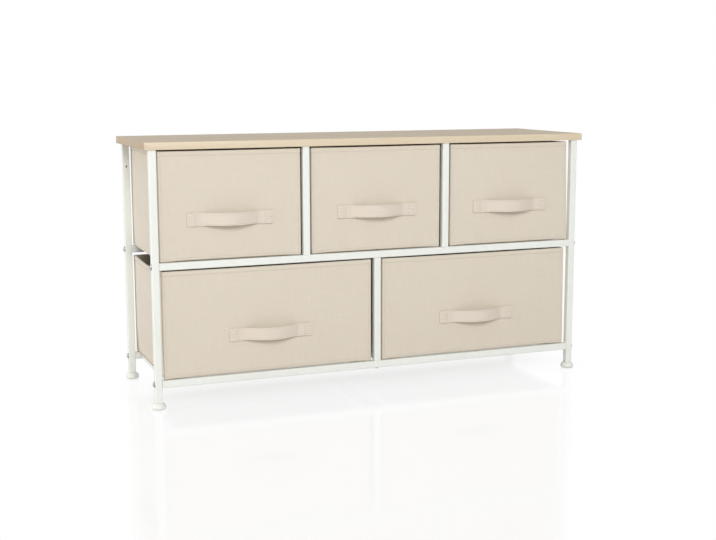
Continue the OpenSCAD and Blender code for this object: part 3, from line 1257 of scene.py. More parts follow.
# Rings and columns close to a seam, in millimetres from it
FOOT_SEAM_RINGS = (-1.4, -0.7, 0.0, 0.7, 1.4)
HEM_RINGS = (-1.6, -0.8, 0.0, 0.6, 1.2, 3.4)
RIM_FOLD_RINGS = (-0.7, 0.0, 0.6)
UPRIGHT_SEAM_COLUMNS = (-0.9, 0.0, 0.7, 1.6)
# Rings on the round parts of the box's section, in degrees
FOOT_TURNS = (30, 60, 90)
RIM_TURNS = (0, 36, 72, 108, 144, 180)
LINING_TURNS = (45, 90)
# Rings on the flat parts, as shares of the outermost one
UNDERSIDE_RINGS = (0.04, 0.3, 0.6, 0.85, 0.96, 1)
INSIDE_FLOOR_RINGS = (0.8, 0.5, 0.25, 0.04)


@dataclass
class SewnBox:
    """A fabric drawer of one size: stiffened walls sewn into cloth, hemmed round the rim."""

    width: float
    depth: float
    height: float
    corner: float = 3.5 * MM
    wall: float = 4 * MM
    floor: float = 1 * MM
    lining_corner: float = 2.5 * MM
    lining_step: float = 2 * MM
    hem: float = 9.7 * MM
    hem_proud: float = 0.4 * MM
    hem_step: float = 0.9 * MM
    rim_fold: float = 3.0 * MM
    fold_depth: float = 0.3 * MM
    fold_width: float = 0.5 * MM
    seam: float = 5.5 * MM
    foot_seam: float = 6.2 * MM
    seam_depth: float = 0.4 * MM
    seam_width: float = 0.6 * MM
    groove_depth: float = 0.45 * MM
    groove_width: float = 0.55 * MM
    welt: float = 0.35 * MM
    welt_gap: float = 0.4 * MM
    pucker: float = 0.12 * MM
    pucker_step: float = 6.5 * MM
    pucker_reach: float = 6 * MM
    bulge: float = 0.55 * MM
    calm_edge: float = 30 * MM
    calm_rim: float = 20 * MM
    tuck_steep: float = 2.6
    tuck_height: float = 75 * MM
    tuck_power: float = 1.5
    foot_rise: float = 1.9 * MM
    foot_height: float = 16 * MM
    foot_steep: float = 2.4
    foot_power: float = 0.8
    slack: float = 0.5 * MM
    rim_height: float = 60 * MM
    front_reach: float = 90 * MM
    column: float = 5.0 * MM
    row: float = 7.0 * MM
    lining_row: float = 11.2 * MM
    arc_steps: int = 3
    line: RoundedWall = field(init=False)
    rings: list[Ring] = field(init=False)
    stops: np.ndarray = field(init=False)

    def __post_init__(self) -> None:
        """Draw the wall's line, the rings and the columns."""
        self.line = RoundedWall(self.width, self.depth, self.corner)
        self.rings = self.plan_rings()
        self.stops = self.plan_columns()

    def plan_rings(self) -> list[Ring]:
        """List the rings from the middle of the underside up the wall, over the rim and down.

        Returns:
            The rings in order.
        """
        rings = [Ring(Part.UNDERSIDE, 0.0, -self.corner, share) for share in UNDERSIDE_RINGS]
        rings += [
            Ring(Part.WALL, self.corner * (1 - cos), self.corner * (sin - 1))
            for sin, cos in turned(FOOT_TURNS)
        ]
        hem_line = self.height - self.hem
        seam = [self.foot_seam + step * MM for step in FOOT_SEAM_RINGS]
        hem = [hem_line + step * MM for step in HEM_RINGS]
        fold = [self.height - self.rim_fold + step * MM for step in RIM_FOLD_RINGS]
        plain = between(seam[-1], hem[0], self.row)
        rings += [Ring(Part.WALL, float(z)) for z in [*seam, *plain, *hem, *fold]]
        half = self.wall / 2
        rings += [
            Ring(
                Part.LINING if cos < 0 else Part.WALL,
                self.height - half + half * sin,
                half * (cos - 1),
            )
            for sin, cos in turned(RIM_TURNS)
        ]
        low = self.floor + self.lining_corner
        inside = [hem_line, *between(hem_line, low, self.lining_row), low]
        rings += [
            Ring(Part.LINING, float(z), -self.wall) for z in [hem_line + self.lining_step, *inside]
        ]
        rings += [
            Ring(
                Part.LINING if sin < 1 else Part.INSIDE_FLOOR,
                self.floor + self.lining_corner * (1 - sin),
                -self.wall - self.lining_corner * (1 - cos),
            )
            for sin, cos in turned(LINING_TURNS)
        ]
        inner = -self.wall - self.lining_corner
        rings += [Ring(Part.INSIDE_FLOOR, self.floor, inner, share) for share in INSIDE_FLOOR_RINGS]
        return rings

    def plan_columns(self) -> np.ndarray:
        """List the positions of the columns along the wall's line.

        Returns:
            The positions, starting at the left end of the front.
        """
        near = [self.seam - self.corner + step * MM for step in UPRIGHT_SEAM_COLUMNS]
        found: list[float] = []
        for start, side in zip(self.line.starts(), self.line.sides):
            plain = between(near[-1], side - near[-1], self.column)
            stops = [0.0, *near, *plain, *(side - n for n in reversed(near)), side]
            found += [start + stop for stop in stops]
            arc = self.line.arc / self.arc_steps
            found += [start + side + arc * step for step in range(1, self.arc_steps)]
        return np.array(found)

    def relief(self, where: np.ndarray, height: np.ndarray, waves: Waves) -> np.ndarray:
        """How far the cloth stands out from the plain wall.

        Args:
            where: Positions along the wall's line.
            height: Heights above the drawer's bottom.
            waves: The drawer's own unevenness.

        Returns:
            Distances outwards.
        """
        line = self.line.at(where)
        arch = np.sin(math.pi * line.share)
        left = line.side == Side.LEFT
        fullness = np.where(left, waves.habit.side_bulge, self.bulge)
        pillow = fullness * arch * np.sin(math.pi * held(height / self.height))
        fade = held(line.edge / self.calm_edge) * held((self.height - height) / self.calm_rim)
        uneven = waves.at(where / self.line.length, height) * fade
        tuck = np.where(left, waves.habit.foot_tuck, 0.0) * held(self.tuck_steep * arch)
        tuck = tuck * held(1 - height / self.tuck_height) ** self.tuck_power
        seamed = (line.side == Side.FRONT) | (line.side == Side.BACK)
        from_edge = line.edge + self.corner
        welt = np.where(seamed & (from_edge < self.seam - self.welt_gap), self.welt, 0.0)
        groove = np.where(seamed, dent(from_edge - self.seam, self.groove_width), 0.0)
        hem_line = self.height - self.hem
        banded = np.where(height > hem_line + self.hem_step, self.hem_proud, 0.0)
        aways = [height - level for level in (hem_line, self.foot_seam)]
        pulled = sum(dent(away, self.seam_width) for away in aways)
        near = sum(dent(away, self.pucker_reach) for away in aways)
        pucker = self.pucker * np.sin(where / self.pucker_step) * near
        folded = dent(height - self.height + self.rim_fold, self.fold_width)
        proud = pillow + uneven - tuck + welt + banded + pucker
        sunk = self.groove_depth * groove + self.seam_depth * pulled + self.fold_depth * folded
        return proud - sunk

    def lift(self, where: np.ndarray, height: np.ndarray, habit: Habit) -> np.ndarray:
        """How far the cloth's edge rises or sags.

        Args:
            where: Positions along the wall's line.
            height: Heights above the drawer's bottom.
            habit: How the drawer's walls have settled.

        Returns:
            Distances upwards.
        """
        line = self.line.at(where)
        arch = np.sin(math.pi * held(line.share))
        front = (line.side == Side.FRONT) | (line.side == Side.BACK)
        low = held(1 - height / self.foot_height)
        high = held(1 - (self.height - height) / self.rim_height)
        rising = np.where(front, self.foot_rise, self.slack)
        raised = rising * held(arch * self.foot_steep) ** self.foot_power
        sagged = np.where(line.side == Side.LEFT, habit.rim_sag, self.slack) * arch
        leftward = held(0.5 - line.point[:, 0] / self.width) ** 2
        rearward = held(0.5 + line.point[:, 1] / self.depth)
        dropped = habit.rear_drop * leftward * rearward
        long = self.line.sides[Side.RIGHT]
        run = line.share * long
        on = [line.side == side for side in (Side.FRONT, Side.RIGHT, Side.BACK)]
        behind = np.select(on, [0.0, run, self.depth], long - run)
        rise = habit.rim_rise * held(1 - behind / self.front_reach)
        return raised * low - (sagged + dropped - rise) * high

    def gather(self, plan: np.ndarray, height: np.ndarray, habit: Habit) -> np.ndarray:
        """Draw the left and right walls in towards the front, as the drawer's habit says.

        Args:
            plan: Places seen from above, about the drawer's middle.
            height: Heights above the drawer's bottom.
            habit: How the drawer's walls have settled.

        Returns:
            The new positions across.
        """
        up = held(height / self.height)
        share = plan[:, 0] / (self.width / 2)
        right = habit.right_foot + (habit.right_top - habit.right_foot) * up
        left = habit.left_foot + (habit.left_top - habit.left_foot) * up
        moved = left * held(-share) - right * held(share)
        return plan[:, 0] + moved * held(0.5 - plan[:, 1] / self.depth)

    def places(
        self, where: np.ndarray, height: np.ndarray, outset: np.ndarray, waves: Waves
    ) -> np.ndarray:
        """Find points on the drawer's cloth.

        Args:
            where: Positions along the wall's line.
            height: Heights above the drawer's bottom.
            outset: Distances out from the wall's line.
            waves: The drawer's own unevenness.

        Returns:
            Rows of x, y and z, with the drawer's bottom centre at the origin.
        """
        line = self.line.at(where)
        out = outset + self.relief(where, height, waves)
        flat = line.point + line.out * out[:, None]
        across = self.gather(flat, height, waves.habit)
        return np.c_[across, flat[:, 1], height + self.lift(where, height, waves.habit)]


class BinPattern:
    """One mesh of a sewn box whose points know their column and ring."""

    calm_rim: ClassVar[float] = 12 * MM
    lining_share: ClassVar[float] = 0.5

    def __init__(self, box: SewnBox, name: str) -> None:
        """Model the box's mesh, and note what each of its points is.

        Args:
            box: The sewn box.
            name: Name for the pattern.
        """
        self.box = box
        self.numbers: dict[int, tuple[int, int]] = {}
        self.piece = self.model()
        self.piece.name = name
        numbers = np.array([self.numbers[index] for index in range(len(self.numbers))])
        self.ring = numbers[:, 1]
        self.where = box.stops[numbers[:, 0]]
        self.height = self.of_rings(lambda ring: ring.height)
        self.outset = self.of_rings(lambda ring: ring.outset)
        self.scale = self.of_rings(lambda ring: ring.scale)
        self.lining = self.of_rings(lambda ring: ring.part is Part.LINING)
        self.level = self.of_rings(lambda ring: ring.part in (Part.UNDERSIDE, Part.INSIDE_FLOOR))
        line = box.line.at(self.where)
        self.flat = (line.point + line.out * self.outset[:, None]) * self.scale[:, None]
        self.lay_cloth_map()

    def of_rings(self, read: Callable[[Ring], object]) -> np.ndarray:
        """Read something of each point's ring."""
        return np.array([read(ring) for ring in self.box.rings])[self.ring]

    def model(self) -> Piece:
        """Model the box from a plane: round its corners, cut its sides, draw up its walls.

        Returns:
            The pattern, as an object.
        """
        deselect_all()
        bpy.ops.mesh.primitive_plane_add(size=1.0)
        piece = stretch_new((self.box.width, self.box.depth, 1))
        open_mesh(piece)
        bpy.ops.mesh.select_all(action="SELECT")
        bpy.ops.mesh.bevel(offset=self.box.corner, segments=self.box.arc_steps, affect="VERTICES")
        bpy.ops.mesh.select_all(action="SELECT")
        bpy.ops.mesh.delete(type="ONLY_FACE")
        for axis, side in enumerate((Side.FRONT, Side.RIGHT)):
            cuts = self.cuts_of_side(side)
            pick(piece, Pick.EDGES, lambda _middle, along, axis=axis: abs(along[axis]) > STRAIGHT)
            bpy.ops.mesh.subdivide(number_cuts=cuts)
        self.number_first_loop(piece)
        bpy.ops.mesh.select_all(action="SELECT")
        rings = self.box.rings
        for index, (below, ring) in enumerate(zip(rings, rings[1:]), start=1):
            rise = (0, 0, ring.height - below.height)
            bpy.ops.mesh.extrude_region_move(TRANSFORM_OT_translate={"value": rise})
            self.number_next_loop(piece, index)
        self.close_ends(piece)
        close_mesh()
        piece.hide_render = True
        return piece

    def cuts_of_side(self, side: Side) -> int:
        """Count the columns inside one straight side.

        Args:
            side: The side.

        Returns:
            Their number.
        """
        start = self.box.line.starts()[side]
        end = start + self.box.line.sides[side]
        stops = self.box.stops
        return int(np.sum((stops > start + NOTHING) & (stops < end - NOTHING)))

    def number_first_loop(self, piece: Piece) -> None:
        """Walk the first loop from the front's left end and number its points.

        Args:
            piece: The pattern in edit mode.
        """
        mesh = bmesh.from_edit_mesh(piece.data)
        mesh.verts.index_update()
        box = self.box
        first = Vector((-box.width / 2 + box.corner, -box.depth / 2, 0))
        point = min(mesh.verts, key=lambda v: (v.co - first).length)
        last = None
        for number in range(len(mesh.verts)):
            self.numbers[point.index] = (number, 0)
            near = [e.other_vert(point) for e in point.link_edges]
            ahead = [v for v in near if v != last]
            if last is None:
                ahead = [max(near, key=lambda v: v.co.x)]
            last, point = point, ahead[0]

    def number_next_loop(self, piece: Piece, ring: int) -> None:
        """Give each new point the column of the point it was drawn from.

        Args:
            piece: The pattern in edit mode, with the new loop selected.
            ring: The new loop's number.
        """
        mesh = bmesh.from_edit_mesh(piece.data)
        mesh.verts.index_update()
        for point in [v for v in mesh.verts if v.select]:
            for edge in point.link_edges:
                column, below = self.numbers.get(edge.other_vert(point).index, (0, ring))
                if below == ring - 1:
                    self.numbers[point.index] = (column, ring)

    def close_ends(self, piece: Piece) -> None:
        """Close the small openings left in the underside and the inside floor.

        Args:
            piece: The pattern in edit mode.
        """
        for ring in (0, len(self.box.rings) - 1):
            bpy.ops.mesh.select_mode(type="VERT")
            bpy.ops.mesh.select_all(action="DESELECT")
            mesh = bmesh.from_edit_mesh(piece.data)
            mesh.verts.ensure_lookup_table()
            for index, (_, own) in self.numbers.items():
                mesh.verts[index].select_set(own == ring)
            mesh.select_flush(True)
            bmesh.update_edit_mesh(piece.data)
            bpy.ops.mesh.edge_face_add()

    def lay_cloth_map(self) -> None:
        """Write the cloth's map in metres: round and up on the walls, flat on the floors."""
        rings = self.box.rings
        steps = [
            math.hypot(b.height - a.height, b.outset - a.outset) for a, b in zip(rings, rings[1:])
        ]
        climb = np.concatenate([[0.0], np.cumsum(steps)])
        on_wall = np.c_[self.where, climb[self.ring]]
        layer = self.piece.data.uv_layers.new(name="cloth")
        length = self.box.line.length
        for face in self.piece.data.polygons:
            corners = list(face.vertices)
            lying = all(self.level[corners])
            rows = (self.flat if lying else on_wall)[corners].copy()
            if not lying and np.ptp(rows[:, 0]) > length / 2:
                rows[rows[:, 0] < length / 2, 0] += length
            for loop, row in zip(face.loop_indices, rows):
                layer.data[loop].uv = row

    def copy_to(self, name: str, centre: Vector, waves: Waves, finish: Material) -> Piece:
        """Copy the pattern to a drawer's place, with the drawer's own unevenness.

        Args:
            name: Name of the piece.
            centre: Middle of the drawer's bottom.
            waves: The drawer's unevenness.
            finish: The cloth.

        Returns:
            The drawer's cloth.
        """
        box = self.box
        points = box.places(self.where, self.height, self.outset, waves)
        line = box.line.at(self.where)
        calm = self.lining_share * (self.height < box.height - self.calm_rim)
        slack = waves.at(self.where / box.line.length, self.height) * calm
        lined = line.point + line.out * (self.outset + slack)[:, None]
        points[self.lining, :2] = lined[self.lining]
        points[self.level, :2] = self.flat[self.level]
        inside = self.lining | self.level
        points[inside, 0] = box.gather(points[inside, :2], self.height[inside], waves.habit)
        small = self.level & (self.scale < 1)
        points[small, 2] = self.height[small]
        mesh = self.piece.data.copy()
        put_points(mesh, points + np.array(centre))
        mesh.update()
        piece = new_piece(name, mesh)
        open_mesh(piece)
        bpy.ops.mesh.select_all(action="SELECT")
        bpy.ops.mesh.normals_make_consistent(inside=False)
        close_mesh()
        smooth(piece, SHARP_CLOTH)
        return settle(piece, name, finish)


@dataclass
class StitchShape:
    """One stitch: a short arched thread with its ends in the cloth."""

    length: float
    thick: float
    sides: int = 6
    cuts: int = 2
    tip: float = 0.55
    rise: float = 0.55
    bow: float = 1.3

    def model(self) -> Mesh:
        """Model the stitch.

        Returns:
            Its mesh, along X with +Z outwards.
        """
        piece = model_bar(self.sides, self.thick, self.length, self.cuts)
        pick(piece, Pick.FACES, lambda _middle, normal: abs(normal.x) > ALONG)
        bpy.ops.transform.resize(value=(1, self.tip, self.tip))
        close_mesh()
        points = coordinates(piece.data)
        from_middle = 2 * points[:, 0] / self.length
        points[:, 2] += self.thick * (self.rise - self.bow * from_middle**2)
        return keep_mesh(piece, points)


@dataclass
class StrapHandle:
    """A flat sewn strap that arches in front of a drawer, stitched down at both ends."""

    length: float = 182 * MM
    height: float = 26.5 * MM
    flare: float = 1 * MM
    neck: float = 15 * MM
    thick: float = 2 * MM
    reach: float = 25 * MM
    end: float = 28 * MM
    sewn: float = 17.5 * MM
    fullness: float = 1.1
    columns: int = 104
    rows: int = 26
    hem_gap: float = 0.4 * MM
    probe: float = 0.2 * MM
    arris: float = 0.4 * MM
    arris_steps: int = 2
    edge_seam: float = 3 * MM
    box_margin: float = 2.4 * MM
    bars: int = 3
    puff: float = 1.25 * MM
    puff_fade: float = 1.5 * MM
    fold: float = 2 * MM
    fold_fade: float = 6 * MM
    dome: float = 0.3 * MM
    dome_fade: float = 4.0
    edge_turn: float = 0.35 * MM
    turn_power: int = 4
    seam_depth: float = 0.22 * MM
    line_depth: float = 0.3 * MM
    seam_width: float = 0.5 * MM

    def half(self, x: np.ndarray) -> np.ndarray:
        """Half the strap's height at x: more at the sewn ends than over the arch."""
        foot = self.length / 2 - self.end
        return self.height / 2 + self.flare * eased((np.abs(x) - foot + self.neck) / self.neck)

    def folded(self, x: np.ndarray) -> np.ndarray:
        """Share of the strap's end that is folded under and lies double at x."""
        return eased((np.abs(x) - self.length / 2 + self.end) / self.fold_fade + 1)

    def arch(self, x: np.ndarray) -> np.ndarray:
        """How far the strap's middle stands in front of the drawer.

        Args:
            x: Positions along the strap.

        Returns:
            Distances outwards.
        """
        share = held(x / (self.length - 2 * self.end) + 0.5)
        bowed = (self.reach - self.thick) * np.sin(math.pi * share) ** self.fullness
        return self.thick / 2 + self.fold * self.folded(x) + bowed

    def slope(self, x: np.ndarray) -> np.ndarray:
        """How steeply the arch rises at x."""
        return (self.arch(x + self.probe) - self.arch(x - self.probe)) / (2 * self.probe)

    def lean(self, x: np.ndarray, z: np.ndarray) -> np.ndarray:
        """How far the cloth of the strap stands out of its plain arch.

        Args:
            x: Positions along the strap.
            z: Positions across it, from its middle.

        Returns:
            Distances outwards.
        """
        half = self.half(x)
        across = z / half
        arched = held(1 - np.abs(x) / (self.length / 2 - self.end))
        dome = self.dome * (1 - across**2) * held(arched * self.dome_fade)
        seam = dent(half - self.edge_seam - np.abs(z), self.seam_width)
        inner = self.length / 2 - np.abs(x)
        edges = (inner - self.box_margin, inner - self.sewn)
        lines = sum(dent(away, self.seam_width) for away in edges)
        beside = np.minimum(inner - self.box_margin, self.sewn - inner) / self.puff_fade
        puffed = np.abs(np.sin(math.pi * z / self.bar_gap())) * held(beside)
        sunk = self.edge_turn * across**self.turn_power + self.seam_depth * seam
        return dome + self.puff * puffed - sunk - self.line_depth * lines

    def bar_gap(self) -> float:
        """Distance between the stitched rows of a sewn end."""
        return 2 * (self.height / 2 + self.flare - self.edge_seam) / (self.bars + 1)

    def model(self) -> Piece:
        """Model the strap from a grid, bent to its arch and given its thickness.

        Returns:
            The strap, its middle at the origin and its front towards -Y.
        """
        deselect_all()
        bpy.ops.mesh.primitive_grid_add(
            x_subdivisions=self.columns,
            y_subdivisions=self.rows,
            size=1,
            rotation=(math.pi / 2, 0, 0),
        )
        piece = stretch_new((self.length, 1, 2))
        points = coordinates(piece.data)
        x = points[:, 0].copy()
        z = points[:, 2] * (self.half(x) - self.hem_gap)
        slope = self.slope(x)
        lean = self.lean(x, z) / np.sqrt(1 + slope**2)
        put_points(piece.data, np.c_[x - lean * slope, -(self.arch(x) + lean), z])
        layer = piece.data.uv_layers.new(name="cloth")
        for loop in piece.data.loops:
            layer.data[loop.index].uv = (x[loop.vertex_index], z[loop.vertex_index])
        finish_modifier(piece, "SOLIDIFY", thickness=self.thick, offset=0.0, use_even_offset=True)
        points = coordinates(piece.data)
        x, z = points[:, 0], points[:, 2]
        behind = points[:, 1] > -(self.arch(x) + self.lean(x, z))
        points[behind, 1] *= 1 - self.folded(x[behind])
        put_points(piece.data, points)
        finish_modifier(
            piece,
            "BEVEL",
            width=self.arris,
            segments=self.arris_steps,
            limit_method="ANGLE",
            angle_limit=math.radians(SHARP_CLOTH),
        )
        smooth(piece, SHARP_CLOTH)
        return piece

    def seam_lines(self) -> list[tuple[float, float, float, float]]:
        """List the lines of stitches.

        Returns:
            Start x, start z, end x and end z of each line.
        """
        rail = self.height / 2 + self.flare - self.edge_seam
        foot = self.length / 2 - self.end
        low = self.height / 2 - self.edge_seam
        neck = foot - self.neck
        lines = []
        for side in (-1, 1):
            lines.append((-neck, side * low, neck, side * low))
            for turn in (-1, 1):
                lines.append((turn * neck, side * low, turn * foot, side * rail))
            near = side * (self.length / 2 - self.sewn)
            far = side * (self.length / 2 - self.box_margin)
            left, right = min(near, far), max(near, far)
            rows = np.linspace(-rail, rail, self.bars + 2)
            lines += [(left, float(z), right, float(z)) for z in rows]
            lines += [(x, -rail, x, rail) for x in (left, right)]
            lines += [(side * foot, z, near, z) for z in (-rail, rail)]
        return lines

    def stitch_places(self, pitch: float) -> np.ndarray:
        """Place every stitch of the strap.

        Args:
            pitch: Distance from stitch to stitch.

        Returns:
            Four by four matrices in the strap's own frame.
        """
        found = []
        for start_x, start_z, end_x, end_z in self.seam_lines():
            count = max(2, round(math.hypot(end_x - start_x, end_z - start_z) / pitch))
            for step in range(count):
                shares = (step + 0.5 + np.array([0.0, STITCH_AHEAD])) / count
                xs = start_x + (end_x - start_x) * shares
                zs = start_z + (end_z - start_z) * shares
                out = np.array([-self.slope(xs[0]), -1.0, 0.0])
                out /= np.linalg.norm(out)
                near, far = np.c_[xs, -(self.arch(xs) + self.lean(xs, zs)), zs]
                found.append(lay_along(near + out * self.thick / 2, far - near, out))
        return np.array(found)


@dataclass
class FabricDrawers:
    """The five fabric drawers, each with its cloth, its strap and its stitching."""

    paints: Paints
    hem_proud: float = 0.4 * MM
    stitch_length: float = 3.0 * MM
    stitch_gap: float = 1.2 * MM
    thread: float = 0.75 * MM
    fine_length: float = 2.4 * MM
    fine_thread: float = 0.6375 * MM
    seam_probe: float = 0.3 * MM
    above_foot_seam: float = 3 * MM
    below_hem: float = 2 * MM
    strap_sink: float = 0.1 * MM
    first_seed: int = 11

    def build(self) -> None:
        """Model one drawer of each size and copy it to each place."""
        stitch = StitchShape(self.stitch_length, self.thread).model()
        fine_stitch = StitchShape(self.fine_length, self.fine_thread).model()
        strap = StrapHandle()
        strap_pattern = strap.model()
        strap_pattern.name = "strap_pattern"
        seed = self.first_seed
        for row, names in BINS.items():
            box = self.box_for(names[0])
            pattern = BinPattern(box, f"{row.value}_bin_pattern")
            for name in names:
                waves = Waves(seed, HABITS[name])
                self.drawer(name, pattern, waves, stitch)
                self.handle(name, box, waves, strap, strap_pattern, fine_stitch)
                seed += 1
            bpy.data.objects.remove(pattern.piece)
        bpy.data.objects.remove(strap_pattern)

    def box_for(self, name: str) -> SewnBox:
        """Read a drawer's size from its cover in the frame.

        Args:
            name: Which drawer.

        Returns:
            The sewn box.
        """
        low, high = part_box(f"cover_{name}")
        size = high - low
        return SewnBox(size.x - 2 * self.hem_proud, size.y - 2 * self.hem_proud, size.z)

    def bottom_of(self, name: str) -> Vector:
        """Give the middle of a drawer's bottom."""
        low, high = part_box(f"cover_{name}")
        return Vector(((low.x + high.x) / 2, (low.y + high.y) / 2, low.z))

    def drawer(self, name: str, pattern: BinPattern, waves: Waves, stitch: Mesh) -> None:
        """Make a drawer's cloth and its seams.

        Args:
            name: Which drawer.
            pattern: The pattern of its size.
            waves: Its unevenness.
            stitch: Mesh of one stitch.
        """
        cloth = pattern.copy_to(f"sewn_box_{name}", self.bottom_of(name), waves, self.paints.cloth)
        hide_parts(f"cover_{name}", f"wall_boards_{name}")
        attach(cloth, f"drawer_{name}")
        places = self.seam_places(pattern.box, waves)
        thread = self.paints.thread
        seams = stamp(f"box_stitching_{name}", stitch, places, thread, self.bottom_of(name))
        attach(seams, f"drawer_{name}")
        LOG.info("drawer %s: %d points, %d stitches", name, len(cloth.data.vertices), len(places))

    def seam_places(self, box: SewnBox, waves: Waves) -> np.ndarray:
        """Place the stitches of the hem, the foot seam and the four upright seams.

        Args:
            box: The drawer's sewn box.
            waves: Its unevenness.

        Returns:
            Four by four matrices about the drawer's bottom centre.
        """
        pitch = self.stitch_length + self.stitch_gap
        count = round(box.line.length / pitch)
        round_way = (np.arange(count) + 0.5) * box.line.length / count
        runs = [
            (round_way, np.full(count, level), (self.seam_probe, 0.0))
            for level in (box.height - box.hem, box.foot_seam)
        ]
        low = box.foot_seam + self.above_foot_seam
        high = box.height - box.hem - self.below_hem
        count = round((high - low) / pitch)
        up = low + (np.arange(count) + 0.5) * (high - low) / count
        inset = box.seam - box.corner
        for side in (Side.FRONT, Side.BACK):
            start = box.line.starts()[side]
            for at in (start + inset, start + box.line.sides[side] - inset):
                runs.append((np.full(count, at), up, (0.0, self.seam_probe)))
        found = []
        for where, height, (along, rise) in runs:
            flush = np.zeros(len(where))
            here = box.places(where, height, flush, waves)
            ahead = box.places(where + along, height + rise, flush, waves)
            outs = np.c_[box.line.at(where).out, flush]
            found += [lay_along(p, q - p, out) for p, q, out in zip(here, ahead, outs)]
        return np.array(found)

    def handle(
        self,
        name: str,
        box: SewnBox,
        waves: Waves,
        strap: StrapHandle,
        pattern: Piece,
        stitch: Mesh,
    ) -> None:
        """Copy the strap to a drawer's front and stitch it down.

        Args:
            name: Which drawer.
            box: The drawer's sewn box.
            waves: The drawer's unevenness.
            strap: The strap's sizes.
            pattern: The modelled strap.
            stitch: Mesh of one stitch.
        """
        low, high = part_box(f"strap_{name}")
        middle = Vector(((low.x + high.x) / 2, high.y, (low.z + high.z) / 2))
        middle += Vector((waves.habit.strap_x, 0, waves.habit.strap_z))
        front = box.line.sides[Side.FRONT]
        ends = np.array([(front + side * (strap.length - strap.end)) / 2 for side in (-1, 1)])
        up = middle.z - self.bottom_of(name).z
        middle.y -= float(box.relief(ends, np.full(2, up), waves).mean()) - self.strap_sink
        piece = new_piece(f"strap_handle_{name}", pattern.data.copy())
        piece.data.transform(Matrix.Translation(middle))
        settle(piece, f"strap_handle_{name}", self.paints.strap)
        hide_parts(f"strap_{name}")
        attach(piece, f"drawer_{name}")
        places = strap.stitch_places(self.stitch_length)
        seams = stamp(f"strap_stitching_{name}", stitch, places, self.paints.thread, middle)
        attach(seams, f"drawer_{name}")
        LOG.info("handle %s: %d stitches", name, len(places))


@dataclass
class TopBoard:
    """The wood-effect top: the frame's core in laminate, with a softened band round it."""

    paints: Paints
    band: float = 0.8 * MM
    corner: float = 2 * MM
    corner_steps: int = 5
    arris: float = 0.35 * MM
    arris_steps: int = 2
    near: float = 0.3 * MM

    def build(self) -> None:
        """Dress the core and model the band."""
        dress_mesh(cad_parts["top_board"], self.paints.laminate)
        low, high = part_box("board_edge_band")
        deselect_all()
        bpy.ops.mesh.primitive_cube_add(size=1, location=(low + high) / 2)
        piece = stretch_new(high - low)
        open_mesh(piece)
        pick(piece, Pick.FACES, lambda _middle, normal: abs(normal.z) > ALONG)
        bpy.ops.mesh.delete(type="FACE")
        pick(piece, Pick.EDGES, lambda _middle, along: abs(along.z) > ALONG)
        bpy.ops.mesh.bevel(offset=self.corner, segments=self.corner_steps, affect="EDGES")
        close_mesh()
        finish_modifier(piece, "SOLIDIFY", thickness=self.band, offset=-1.0, use_even_offset=True)
        open_mesh(piece)
        pick(piece, Pick.EDGES, self.outer_rim(low, high))
        bpy.ops.mesh.bevel(offset=self.arris, segments=self.arris_steps, affect="EDGES")
        close_mesh()
        smooth(piece, SHARP_BAND)
        settle(piece, "edge_band", self.paints.band)
        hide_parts("board_edge_band")
        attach(piece, "root")
        LOG.info("edge band: %d points", len(piece.data.vertices))

    def outer_rim(self, low: Vector, high: Vector) -> Test:
        """Make the test for the band's outer edges at its top and bottom.

        Args:
            low: Lowest corner of the band.
            high: Highest corner of the band.

        Returns:
            The test on an edge's middle and direction.
        """
        centre = (low + high) / 2
        half = (high - low) / 2

        def test(middle: Vector, along: Vector) -> bool:
            """Tell whether an edge lies on the outer line, level, at the top or bottom.

            Args:
                middle: The edge's middle.
                along: Its direction.

            Returns:
                Whether it does.
            """
            away = middle - centre
            level = abs(along.z) < ALONG and half.z - abs(away.z) < self.near
            past = [max(self.corner - h + abs(a), 0.0) for h, a in zip(half.xy, away.xy)]
            return level and self.corner - math.hypot(*past) < self.near

        return test


